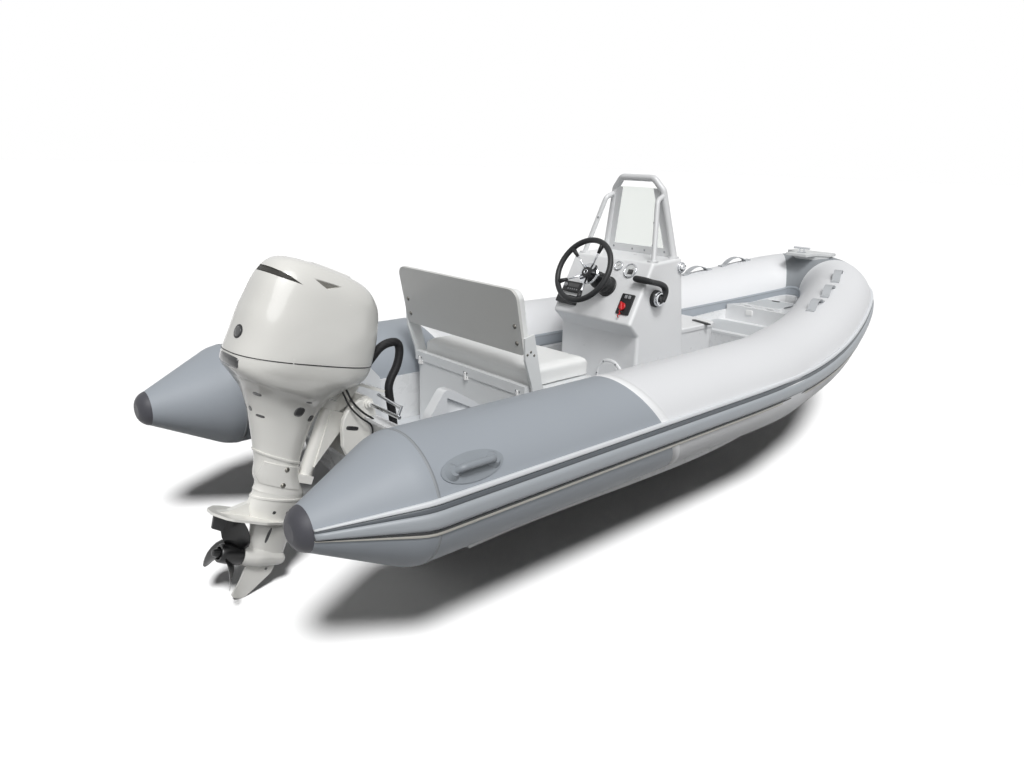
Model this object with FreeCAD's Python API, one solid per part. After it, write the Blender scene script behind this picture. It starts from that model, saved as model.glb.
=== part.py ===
"""Rigid inflatable boat with a steering console, a bench seat and an outboard motor.

Frame: +X towards the bow, +Y to port, +Z up, in millimetres. The origin lies on the
centreline where the aft face of the transom meets the waterline.
"""
import FreeCAD, Part
import math
import os

V = FreeCAD.Vector

# Buoyancy tubes
tube_radius = 240.0
tube_half_spacing = 740.0
tube_axis_z = 270.0
cone_start_x = -340.0
cone_length = 370.0
cone_tip_radius = 78.0
cap_length = 46.0
bow_start_x = 1460.0
bow_lead_x = 3070.0
bow_shoulder_x = 3333.0
bow_shoulder_half = 292.0
bow_centre_x = 3900.0
bow_flat_half = 451.0
sheer_start_x = 1950.0
sheer_rise = 237.0
sheer_power = 1.86
colour_split_x = 860.0
colour_split_slope = 32.0
bow_patch_share = 0.845
bow_steps = 8
joint_gap = 0.3
tube_gap = 0.6

# Rub strake, measured as angles round the tube from its outer side
strake_low_angle = -7.0
strake_high_angle = 19.5
strake_depth = 13.0

# Webbing handles on the bow quarters, by the place of each along the boat
tape_places = (2840.0, 3175.0, 3515.0)
tape_length = 262.0
tape_width = 50.0
tape_lift = 42.0

# Hull and deck
deck_z = 20.0
deck_thickness = 12.0
liner_thickness = 14.0
shelf_inset = 90.0
shelf_drop = 200.0
platform_x = 2750.0
platform_z = 300.0
platform_thickness = 14.7

# Hull lines: place along the boat, keel height, chine height and chine half breadth
hull_lines = (
    (0.0, -235.0, -90.0, 668.0),
    (900.0, -235.0, -95.0, 668.0),
    (1900.0, -233.0, -95.0, 655.0),
    (2400.0, -213.0, -60.0, 603.0),
    (2790.0, -160.0, 5.0, 522.0),
    (3050.0, -98.0, 55.0, 448.0),
    (3278.0, -28.0, 105.0, 370.0),
    (3450.0, 45.0, 148.0, 292.0),
    (3600.0, 130.0, 192.0, 200.0),
    (3720.0, 218.0, 240.0, 95.0),
    (3800.0, 276.0, 284.0, 25.0),
)

# Transom
transom_rake = 14.0
transom_thickness = 45.0
transom_top_z = 325.0
transom_half = 470.0
cap_height = 14.0

# Transom knees, as a side outline that stands beside each tube
knee_outline = ((-48.0, 332.0), (-30.0, 420.0), (42.0, 516.0), (80.0, 512.0), (215.0, 428.0), (330.0, 300.0),
                (330.0, 34.0), (38.0, 34.0), (-14.0, 262.0), (-14.0, 332.0))
knee_recess = ((52.0, 484.0), (178.0, 418.0), (58.0, 402.0))
knee_inner = 436.0
knee_outer = 485.4
knee_recess_depth = 16.0
knee_corner = 16.0

# Console, as a side profile
console_half = 283.0
console_foot_aft_x = 1484.0
console_kick_z = 485.0
console_lip_x = 1405.0
console_lip_z = 560.0
dash_top_x = 1574.0
dash_top_z = 877.0
console_front_top_x = 1825.0
console_front_top_z = 890.0
console_front_foot_x = 1960.0
console_wall = 8.0
console_edge_radius = 18.0

# Console front seat
front_seat_length = 300.0
front_seat_half = 262.0
front_seat_top_z = 478.0
front_seat_lid_thickness = 26.0
front_seat_wall = 8.0

# Bench seat
bench_aft_x = 540.0
bench_front_x = 990.0
bench_half = 412.0
bench_split_z = 374.0
bench_wall = 10.0
bench_lid_thickness = 16.0
bench_coaming_height = 46.0
cushion_thickness = 92.0
cushion_inset = 12.0
backrest_low_z = 572.0
backrest_high_z = 864.0
backrest_low_x = 507.0
backrest_high_x = 446.0
backrest_half = 437.0
backrest_board_thickness = 14.0
backrest_pad_thickness = 44.0

# Steering wheel
wheel_y = -42.0
wheel_radius = 185.0
wheel_rim_radius = 15.0
wheel_stand_off = 230.0
wheel_dish = 80.0
hub_radius = 60.0
helm_height = 0.53
helm_radius = 50.0
helm_length = 110.0
spoke_count = 5
spoke_start = 40.0

# Instruments: share up the dash, place across it and radius
gauge_places = ((0.884, -65.0, 27.0), (0.835, -155.0, 41.0))
throttle_x = 1605.0
throttle_z = 688.0
lamp_x = 1816.0
lamp_z = 838.0
lamp_radius = 31.0

# Grab rail and windscreen
rail_radius = 19.0
rail_base_half = 246.0
rail_base_x = 1838.0
rail_shoulder_half = 168.0
rail_top_half = 112.0
rail_top_x = 1745.0
rail_top_z = 1305.0
stay_base_x = 1612.0
screen_thickness = 6.0
flange_thickness = 3.0
flange_lap = 18.0
screen_low_half = 206.0
screen_high_half = 126.0

# Bow locker and bow step
locker_aft_x = 3165.0
locker_front_x = 3600.0
locker_top_z = 420.0
locker_well_aft_x = 3235.0
locker_well_front_x = 3520.0
locker_well_half = 150.0
locker_lid_margin = 22.0
locker_lid_thickness = 12.0
step_aft_x = 3640.0
step_waist_x = 3790.0
step_front_x = 3925.0
step_half = 172.0
step_tongue_half = 84.0
step_thickness = 22.0

# Carry handles on the aft tubes
handle_x = -185.0
handle_reach = 88.0
handle_angle = 35.0
handle_lift = 38.0
handle_bar_radius = 13.0
handle_pad_length = 264.0
handle_pad_width = 104.0
handle_pad_thickness = 4.0

# Round barrels of the lids' hinges: axis, radius and places across the boat
bench_hinge = (996.5, 374.0, 6.0)
front_hinge = (1905.0, 478.0, 5.0)
locker_hinge = (3209.0, 414.5, 5.0)
hinge_length = 46.0

# Outboard motor, drawn upright and then tilted about its tilt tube
tilt_x = -70.0
tilt_z = 385.0
rest_tilt = 24.0
swivel_axis_x = -190.0
cowl_wall = 5.0
cowl_floor_z = 392.0
cowl_ceiling_z = 742.0
cowl_split_aft = (-680.0, 425.0)
cowl_split_slope = 0.233
plan_power = 2.7

# Cowl sections from the bottom up: height, aft end, front end and half breadth
cowl_sections = ((352.0, -634.0, -229.0, 140.0), (366.0, -656.0, -220.0, 150.0), (390.0, -679.0, -198.0, 161.0),
                 (420.0, -685.0, -166.0, 172.0), (455.0, -685.0, -122.0, 179.0), (500.0, -683.0, -97.0, 182.0),
                 (550.0, -683.0, -97.0, 181.0), (600.0, -682.0, -103.0, 178.0), (650.0, -677.0, -110.0, 173.0),
                 (700.0, -672.0, -122.0, 166.0), (750.0, -663.0, -138.0, 157.0), (790.0, -648.0, -163.0, 144.0),
                 (820.0, -625.0, -195.0, 126.0), (845.0, -570.0, -250.0, 95.0), (858.0, -480.0, -300.0, 55.0))

# Air scoop at the cowl's aft end, side recess and the core that stays behind the scoop
scoop_outline = ((-720.0, 757.0), (-552.0, 757.0), (-600.0, 772.0), (-720.0, 796.0))
scoop_depth = 42.0
scoop_core_x = -622.0
recess_outline = ((-518.0, 795.0), (-394.0, 802.0), (-453.0, 770.0))
recess_depth = 9.0

# Leg sections from the cowl down to the plate: height, aft end, front end, half breadth, squareness
leg_top_sections = ((-75.0, -397.0, -172.0, 55.0, 2.1), (-40.0, -401.0, -186.0, 55.0, 2.1),
                    (0.0, -419.0, -220.0, 56.0, 2.1), (50.0, -435.0, -238.0, 57.0, 2.1),
                    (100.0, -460.0, -244.0, 59.0, 2.1), (140.0, -480.0, -246.0, 62.0, 2.1),
                    (180.0, -501.0, -247.0, 66.0, 2.2), (220.0, -521.0, -247.0, 73.0, 2.2),
                    (260.0, -546.0, -246.0, 84.0, 2.3), (300.0, -574.0, -242.0, 101.0, 2.4),
                    (330.0, -606.0, -235.0, 121.0, 2.6), (351.7, -633.0, -230.0, 139.0, 2.7))
leg_low_sections = ((-356.0, -345.0, -166.0, 26.0, 2.0), (-300.0, -347.0, -168.0, 28.0, 2.0),
                    (-240.0, -352.0, -168.0, 33.0, 2.0), (-195.0, -372.0, -168.0, 40.0, 2.0),
                    (-140.0, -398.0, -166.0, 48.0, 2.1), (-105.0, -394.0, -167.0, 53.0, 2.1),
                    (-75.3, -397.0, -172.0, 55.0, 2.1))
leg_cover = ((-412.0, -18.0), (-394.0, -40.0), (-222.0, -40.0), (-222.0, 50.0), (-412.0, 50.0))
leg_seam = ((-500.0, 80.0), (-230.0, 61.0), (-230.0, 69.0), (-500.0, 88.0))
splash_ridge = ((-430.0, -112.0), (-150.0, -82.0), (-150.0, -74.0), (-430.0, -104.0))
ridge_height = 4.0
plate_outline = ((-542.0, 26.0), (-500.0, 70.0), (-470.0, 80.0), (-330.0, 80.0), (-190.0, 34.0))
plate_corner = 24.0
tail_web = ((-380.0, -118.0), (-404.0, -136.0), (-470.0, -176.0), (-534.0, -190.0), (-380.0, -190.0))
skeg_outline = ((-186.0, -385.0), (-194.0, -421.0), (-268.0, -524.0), (-286.0, -538.0), (-318.0, -538.0),
                (-333.0, -528.0), (-318.0, -470.0), (-312.0, -385.0))
plate_z = -195.0
plate_thickness = 10.0
shaft_z = -354.0
gearcase_nose_x = -154.0
gearcase_aft_x = -352.0
gearcase_radius = 44.0
propeller_hub_radius = 42.0
propeller_hub_length = 92.0
shaft_radius = 14.0
shaft_reach = 70.0
blade_count = 3
clamp_gap_half = 74.0
clamp_plate = 22.0
steering_arm_reach = 225.0
steering_arm_lift = 60.0
steering_arm_thickness = 14.0
steering_arm_under = ((-140.0, 312.3), (-124.0, 330.0), (-96.0, 405.0), (-84.0, 438.0))
steering_arm_over = ((-104.0, 452.0), (-136.0, 418.0), (-171.7, 351.4))
link_lift = 38.0
link_radius = 7.0
ram_radius = 7.95
tilt_tube_bore = 8.0
tilt_tube_radius = 12.7
ram_reach = 320.0
running_gap = 0.05

# Clamp plates, as a side outline behind the transom
clamp_outline = ((-50.0, 401.0), (-76.0, 407.0), (-110.0, 405.0), (-142.0, 391.0), (-168.0, 367.0),
                 (-188.0, 334.0), (-196.0, 296.0), (-196.0, 216.0), (-178.0, 172.0), (-96.0, 96.0))
clamp_corner = 22.0

swivel_barrel_radius = 30.0
swivel_top_z = 312.0
swivel_bottom_z = 20.0
yoke_half = 34.0
swivel_pin_radius = 16.0
trim_pin_x = -52.0
trim_pin_z = 108.0
trim_eye_x = -118.0
trim_eye_z = 300.0
trim_pin_radius = 9.0
trim_cylinder_radius = 21.0
trim_cylinder_length = 158.0
trim_rod_radius = 8.5


def box(x0, x1, y0, y1, z0, z1):
    """A box between two corners."""
    return Part.makeBox(x1 - x0, y1 - y0, z1 - z0, V(x0, y0, z0))


def cylinder(radius, start, end):
    """A cylinder between two points."""
    axis = end - start
    return Part.makeCylinder(radius, axis.Length, start, axis)


def mirrored(shape):
    """The same shape on the other side of the centreline."""
    return shape.mirror(V(0, 0, 0), V(0, 1, 0))


def fuse(shapes):
    """One solid from several that touch."""
    joined = shapes[0].multiFuse(shapes[1:]) if len(shapes) > 1 else shapes[0]
    return joined.removeSplitter()


def side_profile(points, half_width, offset_y=0.0):
    """A closed outline in the XZ plane, extruded evenly about a centre plane."""
    corners = [V(x, offset_y - half_width, z) for x, z in points]
    face = Part.Face(Part.makePolygon(corners + corners[:1]))
    return face.extrude(V(0, 2 * half_width, 0))


def rounded_profile(points, corner, half_width, offset_y=0.0):
    """A side profile whose corners are rounded as far as its edges allow."""
    corners = [V(x, offset_y - half_width, z) for x, z in points]
    edges = []
    ends = []
    for before, here, after in zip(corners[-1:] + corners[:-1], corners, corners[1:] + corners[:1]):
        reach = min(corner, (before - here).Length * 0.49, (after - here).Length * 0.49)
        start = here + (before - here).normalize() * reach
        end = here + (after - here).normalize() * reach
        bend = Part.BezierCurve()
        bend.setPoles([start, here, end])
        edges.append(bend.toShape())
        ends.append((start, end))
    for (_, end), (start, _) in zip(ends, ends[1:] + ends[:1]):
        edges.append(Part.makeLine(end, start))
    wire = Part.Wire(Part.sortEdges(edges)[0])
    return Part.Face(wire).extrude(V(0, 2 * half_width, 0))


def plan_profile(points, z0, z1):
    """A closed outline in the XY plane, extruded upwards."""
    corners = [V(x, y, z0) for x, y in points]
    face = Part.Face(Part.makePolygon(corners + corners[:1]))
    return face.extrude(V(0, 0, z1 - z0))


def fillet_where(shape, radius, wanted):
    """Round the straight edges whose direction and middle satisfy a test."""
    edges = []
    for edge in shape.Edges:
        middle = edge.CenterOfMass
        ends = [vertex.Point for vertex in edge.Vertexes]
        if len(ends) == 2 and wanted(middle, (ends[1] - ends[0]).normalize()):
            edges.append(edge)
    return shape.makeFillet(radius, edges)


def rounded_tube(points, radius, bend_radius):
    """A round bar along straight runs joined by tangent arcs."""
    edges = []
    start = points[0]
    for before, corner, after in zip(points, points[1:], points[2:]):
        way_in = (corner - before).normalize()
        way_out = (after - corner).normalize()
        turn = way_in.getAngle(way_out)
        setback = bend_radius * math.tan(turn / 2)
        arc_start = corner - way_in * setback
        arc_end = corner + way_out * setback
        inward = (way_out - way_in).normalize()
        centre = corner + inward * (bend_radius / math.cos(turn / 2))
        arc_middle = centre - inward * bend_radius
        edges.append(Part.LineSegment(start, arc_start).toShape())
        edges.append(Part.Arc(arc_start, arc_middle, arc_end).toShape())
        start = arc_end
    edges.append(Part.LineSegment(start, points[-1]).toShape())
    path = Part.Wire(edges)
    direction = (points[1] - points[0]).normalize()
    section = Part.Wire(Part.makeCircle(radius, points[0], direction))
    return path.makePipeShell([section], True, False)


def sheer_z(x):
    """Height of the tube's centre line, which rises towards the bow."""
    if x <= sheer_start_x:
        return tube_axis_z
    share = (x - sheer_start_x) / (bow_centre_x - sheer_start_x)
    return tube_axis_z + sheer_rise * share ** sheer_power


def bow_point(share):
    """A point of the port tube's centre line from the straight run to the bow."""
    x_values = (bow_start_x, bow_lead_x, bow_shoulder_x, bow_centre_x, bow_centre_x)
    y_values = (tube_half_spacing, tube_half_spacing, bow_shoulder_half, bow_flat_half, 0.0)
    rest = 1 - share
    weights = (rest ** 4, 4 * share * rest ** 3, 6 * share ** 2 * rest ** 2, 4 * share ** 3 * rest, share ** 4)
    x = sum(weight * value for weight, value in zip(weights, x_values))
    y = sum(weight * value for weight, value in zip(weights, y_values))
    return V(x, y, sheer_z(x))


def bow_share(x):
    """Share of the bow curve at a place along the boat."""
    low = 0.0
    high = 1.0
    for _ in range(40):
        middle = (low + high) / 2
        if bow_point(middle).x < x:
            low = middle
        else:
            high = middle
    return low


def tube_half(x):
    """Half breadth between the tubes' centre lines at a place along the boat."""
    return bow_point(bow_share(x)).y if x > bow_start_x else tube_half_spacing


def bow_curve():
    """The tube's centre line from the end of the port straight run round the bow."""
    port = [bow_point(step / bow_steps) for step in range(bow_steps)]
    starboard = [V(point.x, -point.y, point.z) for point in reversed(port)]
    curve = Part.BSplineCurve()
    curve.interpolate(Points=port + [bow_point(1.0)] + starboard,
                      InitialTangent=V(1, 0, 0), FinalTangent=V(-1, 0, 0))
    return curve


BOW = bow_curve()


def curved_tube(radius):
    """The curved length of tube, from one straight run round the bow to the other."""
    start = BOW.FirstParameter
    section = Part.Wire(Part.makeCircle(radius, BOW.value(start), BOW.tangent(start)[0]))
    return swept(BOW.toShape(), section)


def swept(edge, section):
    """A section swept upright along an edge."""
    sweep = Part.BRepOffsetAPI.MakePipeShell(Part.Wire(edge))
    sweep.setBiNormalMode(V(0, 0, 1))
    sweep.add(section)
    sweep.build()
    sweep.makeSolid()
    return sweep.shape()


def patch_wedge():
    """Everything ahead of the two upright planes that bound the bow patch."""
    seam = bow_point(bow_patch_share)
    ahead = bow_point(bow_patch_share + 0.002) - bow_point(bow_patch_share - 0.002)
    outward = V(-ahead.y, ahead.x, 0).normalize()
    inner_x = seam.x - outward.x * seam.y / outward.y
    outer = seam + outward * (3 * tube_radius)
    front = bow_centre_x + 3 * tube_radius
    return plan_profile([(inner_x, 0), (outer.x, outer.y), (front, outer.y), (front, -outer.y),
                         (outer.x, -outer.y)], tube_axis_z - 2 * tube_radius, tube_axis_z + 4 * tube_radius)


def colour_wedge():
    """Everything aft of the slanted line where the tube's colour changes."""
    slope = math.tan(math.radians(colour_split_slope))
    reach = 2 * tube_radius
    low = tube_axis_z - reach
    high = tube_axis_z + reach
    points = [(cone_start_x - 2 * cone_length, low), (colour_split_x + slope * reach, low),
              (colour_split_x - slope * reach, high), (cone_start_x - 2 * cone_length, high)]
    return side_profile(points, tube_radius * 1.2, tube_half_spacing)


def stern_cone(grow=0.0):
    """The tapered end of the port tube, rounded into the straight run."""
    tip_x = cone_start_x - cone_length
    blend = cone_length * 0.22
    taper = (tube_radius - cone_tip_radius) / cone_length
    outline = [V(cone_start_x, 0, 0), V(cone_start_x, tube_radius, 0)]
    shoulder = V(cone_start_x - blend, tube_radius - taper * blend * 0.55, 0)
    middle = V(cone_start_x - blend * 0.5, tube_radius - taper * blend * 0.14, 0)
    arc = Part.Arc(outline[1], middle, shoulder).toShape()
    tip = V(tip_x, cone_tip_radius, 0)
    edges = [Part.makeLine(outline[0], outline[1]), arc, Part.makeLine(shoulder, tip),
             Part.makeLine(tip, V(tip_x, 0, 0)), Part.makeLine(V(tip_x, 0, 0), outline[0])]
    face = Part.Face(Part.Wire(edges))
    face.translate(V(0, grow, 0))
    cone = face.revolve(V(0, 0, 0), V(1, 0, 0), 360)
    cone.translate(V(0, tube_half_spacing, tube_axis_z))
    return cone


def straight_tube(radius, start_x, end_x):
    """The straight run of the port tube."""
    return cylinder(radius, V(start_x, tube_half_spacing, tube_axis_z),
                    V(end_x, tube_half_spacing, tube_axis_z))


def tube_aft():
    """Grey aft length of the port tube with its tapered end."""
    run = straight_tube(tube_radius, cone_start_x, bow_start_x).common(colour_wedge())
    return fuse([run, stern_cone()])


def tube_mid(side):
    """White length of one tube, up to the bow patch; side is 1 to port and -1 to starboard."""
    run = straight_tube(tube_radius, cone_start_x, bow_start_x).cut(colour_wedge())
    if side < 0:
        run = mirrored(run)
    reach = 2 * tube_half_spacing
    half = box(0, 2 * bow_centre_x, min(0, side * reach), max(0, side * reach), -reach, reach)
    return fuse([run, CURVED_TUBE.cut(patch_wedge()).common(half)])


def tube_bow():
    """Grey length across the bow."""
    return CURVED_TUBE.common(patch_wedge())


def tube_space():
    """The tubes with a clearance, as the bodies that are cut from what carries them."""
    radius = tube_radius + tube_gap
    straight = straight_tube(radius, cone_start_x - cone_length, bow_start_x)
    return [straight, mirrored(straight), curved_tube(radius)]


CURVED_TUBE = curved_tube(tube_radius)
TUBE_SPACE = tube_space()


def cone_cap():
    """Moulded end cap of the port cone."""
    tip_x = cone_start_x - cone_length
    radius = cone_tip_radius
    edges = [Part.makeLine(V(0, 0, 0), V(0, radius, 0)),
             Part.Arc(V(0, radius, 0), V(-cap_length * 0.62, radius * 0.8, 0),
                      V(-cap_length, radius * 0.42, 0)).toShape(),
             Part.makeLine(V(-cap_length, radius * 0.42, 0), V(-cap_length, 0, 0)),
             Part.makeLine(V(-cap_length, 0, 0), V(0, 0, 0))]
    cap = Part.Face(Part.Wire(edges)).revolve(V(0, 0, 0), V(1, 0, 0), 360)
    cap.translate(V(tip_x, tube_half_spacing, tube_axis_z))
    return cap


def strake_section(centre, along, radius, depth):
    """A band on the tube's outer side, square to the centre line."""
    outward = V(-along.y, along.x, 0)
    outward.normalize()
    if outward.y < 0 and abs(along.x) > 0.5:
        outward = outward * -1
    up = V(0, 0, 1)

    def at(angle, distance):
        turn = math.radians(angle)
        return centre + outward * (distance * math.cos(turn)) + up * (distance * math.sin(turn))

    middle = (strake_low_angle + strake_high_angle) / 2
    inner = Part.Arc(at(strake_low_angle, radius), at(middle, radius),
                     at(strake_high_angle, radius)).toShape()
    rise = 2.5
    crown = Part.Arc(at(strake_high_angle - rise, radius + depth), at(middle, radius + depth * 1.35),
                     at(strake_low_angle + rise, radius + depth)).toShape()
    top = Part.makeLine(at(strake_high_angle, radius), at(strake_high_angle - rise, radius + depth))
    low = Part.makeLine(at(strake_low_angle + rise, radius + depth), at(strake_low_angle, radius))
    return Part.Wire([inner, top, crown, low])


def rub_strake():
    """Rub strake from the port cone's cap round the bow to the starboard one."""
    radius = tube_radius + joint_gap
    ahead = V(1, 0, 0)
    start = V(cone_start_x, tube_half_spacing, tube_axis_z)
    end = V(bow_start_x, tube_half_spacing, tube_axis_z)
    run = swept(Part.makeLine(start, end), strake_section(start, ahead, radius, strake_depth))
    curve = swept(BOW.toShape(), strake_section(end, ahead, radius, strake_depth))
    shoulder_x = cone_start_x - cone_length * 0.22
    tip = V(cone_start_x - cone_length, tube_half_spacing, tube_axis_z)
    shoulder = V(shoulder_x, tube_half_spacing, tube_axis_z)
    taper = (tube_radius - cone_tip_radius) / cone_length
    shoulder_radius = tube_radius - taper * cone_length * 0.22 * 0.55 + joint_gap
    wires = [strake_section(start, ahead, radius, strake_depth),
             strake_section(shoulder, ahead, shoulder_radius, strake_depth),
             strake_section(tip, ahead, cone_tip_radius + joint_gap, strake_depth * 0.8)]
    cone = stern_cone(tube_gap)
    aft = Part.makeLoft(wires, True, True).cut(cone)
    return fuse([aft, run, curve, mirrored(run), mirrored(aft)])


def hull_corners(x, keel, chine, half):
    """Corners of the hull's cross section at one place along it."""
    shelf_y = tube_half(x) - shelf_inset
    shelf = max(sheer_z(x) - shelf_drop, chine + 16)
    side = [(half, chine), (shelf_y, shelf), (shelf_y + 30, sheer_z(x))]
    return [V(x, 0, keel)] + [V(x, y, z) for y, z in side] + [V(x, -y, z) for y, z in reversed(side)]


def hull_body():
    """Solid between the hull's lines, with a crease along each of them."""
    sections = [hull_corners(*line) for line in hull_lines]
    edges = []
    for points in zip(*sections):
        curve = Part.BSplineCurve()
        curve.interpolate(Points=list(points))
        edges.append(curve.toShape())
    faces = [Part.makeRuledSurface(one, other) for one, other in zip(edges, edges[1:] + edges[:1])]
    for corners in (sections[0], sections[-1]):
        faces.append(Part.Face(Part.makePolygon(corners + corners[:1])))
    shell = Part.makeShell(faces)
    shell.sewShape()
    solid = Part.makeSolid(shell)
    if solid.Volume < 0:
        solid.reverse()
    return solid


def liner_plan(inset, aft_x, front_x, low, high):
    """The space inside the tubes in plan, kept clear of them by an inset."""
    reach = tube_radius + inset
    points = [V(bow_start_x * 0.5, tube_half_spacing - reach, low)]
    for step in range(0, 11):
        share = step / 10
        here = bow_point(share)
        ahead = bow_point(min(share + 0.001, 1.0)) - bow_point(max(share - 0.001, 0.0))
        inward = V(ahead.y, -ahead.x, 0).normalize()
        points.append(V(here.x + inward.x * reach, here.y + inward.y * reach, low))
    points += [V(point.x, -point.y, low) for point in reversed(points[:-1])]
    curve = Part.BSplineCurve()
    curve.interpolate(Points=points, InitialTangent=V(1, 0, 0), FinalTangent=V(-1, 0, 0))
    aft = V(-500, points[0].y, low)
    opposite = V(-500, -points[0].y, low)
    wire = Part.Wire([Part.makeLine(aft, points[0]), curve.toShape(),
                      Part.makeLine(points[-1], opposite), Part.makeLine(opposite, aft)])
    solid = Part.Face(wire).extrude(V(0, 0, high - low))
    return solid.common(box(aft_x, front_x, -900, 900, low - 10, high + 10))


def hull():
    """Vee hull with the cockpit liner that rises to the tubes' middle."""
    rake = math.tan(math.radians(transom_rake))
    aft_cut = side_profile([(-400, -400), (400 * rake, -400), (-600 * rake, 600), (-400, 600)], 900)
    transom_space = box(-300, transom_thickness + 6, -900, 900, deck_z, 700)
    cockpit = liner_plan(liner_thickness, 0, platform_x, deck_z, 700)
    platform = liner_plan(liner_thickness, platform_x - 1, 3640, platform_z - platform_thickness - joint_gap, 700)
    shape = hull_body()
    for space in [aft_cut, transom_space, cockpit, platform] + TUBE_SPACE:
        shape = shape.cut(space)
    return shape


def transom():
    """Raked board across the stern that carries the motor."""
    rake = math.tan(math.radians(transom_rake))
    low = deck_z + joint_gap
    top = transom_top_z - cap_height
    points = [(-low * rake, low), (-low * rake + transom_thickness, low),
              (-top * rake + transom_thickness, top), (-top * rake, top)]
    board = side_profile(points, transom_half + 150)
    return board.cut(TUBE_SPACE)


def transom_cap():
    """Moulded cap over the top edge of the transom."""
    rake = math.tan(math.radians(transom_rake))
    low = transom_top_z - cap_height
    x = -low * rake
    lip = 7.0
    points = [(x - lip, low + joint_gap), (x + transom_thickness + lip, low + joint_gap),
              (x + transom_thickness + lip - 4, low + cap_height), (x - lip, low + cap_height)]
    return side_profile(points, transom_half + 60).cut(TUBE_SPACE)


def transom_knees():
    """Moulded knee on each side between the transom and the tube, with a three-cornered recess."""
    middle = (knee_inner + knee_outer) / 2
    knee = rounded_profile(knee_outline, knee_corner, (knee_outer - knee_inner) / 2, middle)
    recess = rounded_profile(knee_recess, knee_corner / 2, knee_recess_depth, knee_outer)
    knee = knee.cut(recess).cut(TUBE_SPACE[0])
    return Part.makeCompound([knee, mirrored(knee)])


def deck():
    """Moulded sole panel of the cockpit."""
    low = deck_z + joint_gap
    return liner_plan(liner_thickness + 2, transom_thickness + 8, platform_x - 2, low, low + deck_thickness)


def floor_z():
    """Top of the sole panel."""
    return deck_z + joint_gap + deck_thickness


def console():
    """Hollow steering console with a sloping dash over a knee recess."""
    foot = floor_z() + joint_gap
    outline = [(console_foot_aft_x, foot), (console_foot_aft_x, console_kick_z),
               (console_lip_x, console_lip_z), (dash_top_x, dash_top_z),
               (console_front_top_x, console_front_top_z), (console_front_foot_x, foot)]
    outer = side_profile(outline, console_half)
    outer = fillet_where(outer, console_edge_radius, lambda m, d: m.z > foot + 10)
    inner_outline = [(console_foot_aft_x + console_wall, foot - 20),
                     (console_foot_aft_x + console_wall, console_kick_z + console_wall),
                     (console_lip_x + 2.2 * console_wall, console_lip_z + console_wall * 0.6),
                     (dash_top_x + console_wall * 0.6, dash_top_z - console_wall),
                     (console_front_top_x - console_wall, console_front_top_z - console_wall),
                     (console_front_foot_x - console_wall, foot - 20)]
    inner = side_profile(inner_outline, console_half - console_wall)
    return outer.cut(inner)


def front_x(z):
    """Front face of the console at a height."""
    foot = floor_z() + joint_gap
    share = (z - foot) / (console_front_top_z - foot)
    return console_front_foot_x + share * (console_front_top_x - console_front_foot_x)


def front_seat():
    """Open box in front of the console, under its seat lid."""
    foot = floor_z() + joint_gap
    top = front_seat_top_z - front_seat_lid_thickness
    aft = console_front_foot_x + joint_gap
    front = console_front_foot_x + front_seat_length
    outer = side_profile([(aft, foot), (front - 40, foot), (front, top),
                          (front_x(top) + joint_gap, top)], front_seat_half)
    outer = fillet_where(outer, 60.0, lambda m, d: abs(d.y) < 0.1 and abs(d.z) > 0.7 and m.x > aft + 100)
    wall = front_seat_wall
    inner = box(aft + wall, front - 40 - 2 * wall, -front_seat_half + wall, front_seat_half - wall,
                foot + wall, top + 20)
    inner = fillet_where(inner, 45.0, lambda m, d: abs(d.z) > 0.9 and m.x > aft + 100)
    return outer.cut(inner)


def hinge_barrels(hinge, places):
    """Short round barrels along a lid's hinge axis."""
    x, z, radius = hinge
    half = hinge_length / 2
    return [cylinder(radius, V(x, y - half, z), V(x, y + half, z)) for y in places]


def front_seat_lid():
    """Padded lid of the console's front seat."""
    low = front_seat_top_z - front_seat_lid_thickness + joint_gap
    aft = front_x(low) + 6.0
    front = console_front_foot_x + front_seat_length + 6
    lid = box(aft, front, -front_seat_half - 6, front_seat_half + 6, low, front_seat_top_z)
    lid = fillet_where(lid, 5.0, lambda m, d: m.z < low + 1 and m.x < aft + 1 and abs(d.y) > 0.9)
    lid = fillet_where(lid, 62.0, lambda m, d: abs(d.z) > 0.9 and m.x > aft + 100)
    lid = fillet_where(lid, 9.0, lambda m, d: m.z > front_seat_top_z - 1)
    return fuse([lid] + hinge_barrels(front_hinge, (-190.0, 190.0)))


def bench_base():
    """Open-topped moulded box that carries the bench seat."""
    foot = floor_z() + joint_gap
    outer = box(bench_aft_x, bench_front_x, -bench_half, bench_half, foot, bench_split_z)
    outer = fillet_where(outer, 30.0, lambda m, d: abs(d.z) > 0.9)
    wall = bench_wall
    inner = box(bench_aft_x + wall, bench_front_x - wall, -bench_half + wall, bench_half - wall,
                foot + wall, bench_split_z + 10)
    inner = fillet_where(inner, 21.0, lambda m, d: abs(d.z) > 0.9)
    return outer.cut(inner)


def bench_lid():
    """Hinged seat tray with a raised coaming at its back."""
    low = bench_split_z + joint_gap
    top = low + bench_lid_thickness
    lip = 5.0
    tray = box(bench_aft_x - lip, bench_front_x + lip, -bench_half - lip, bench_half + lip, low, top)
    coaming = box(bench_aft_x - lip, bench_aft_x + 26, -bench_half - lip, bench_half + lip,
                  low, low + bench_coaming_height)
    shape = fuse([tray, coaming])
    shape = fillet_where(shape, 24.0, lambda m, d: abs(d.z) > 0.9 and abs(m.y) > bench_half - 5
                         and m.x > bench_front_x - 5)
    return fuse([shape] + hinge_barrels(bench_hinge, (-300.0, 300.0)))


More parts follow.
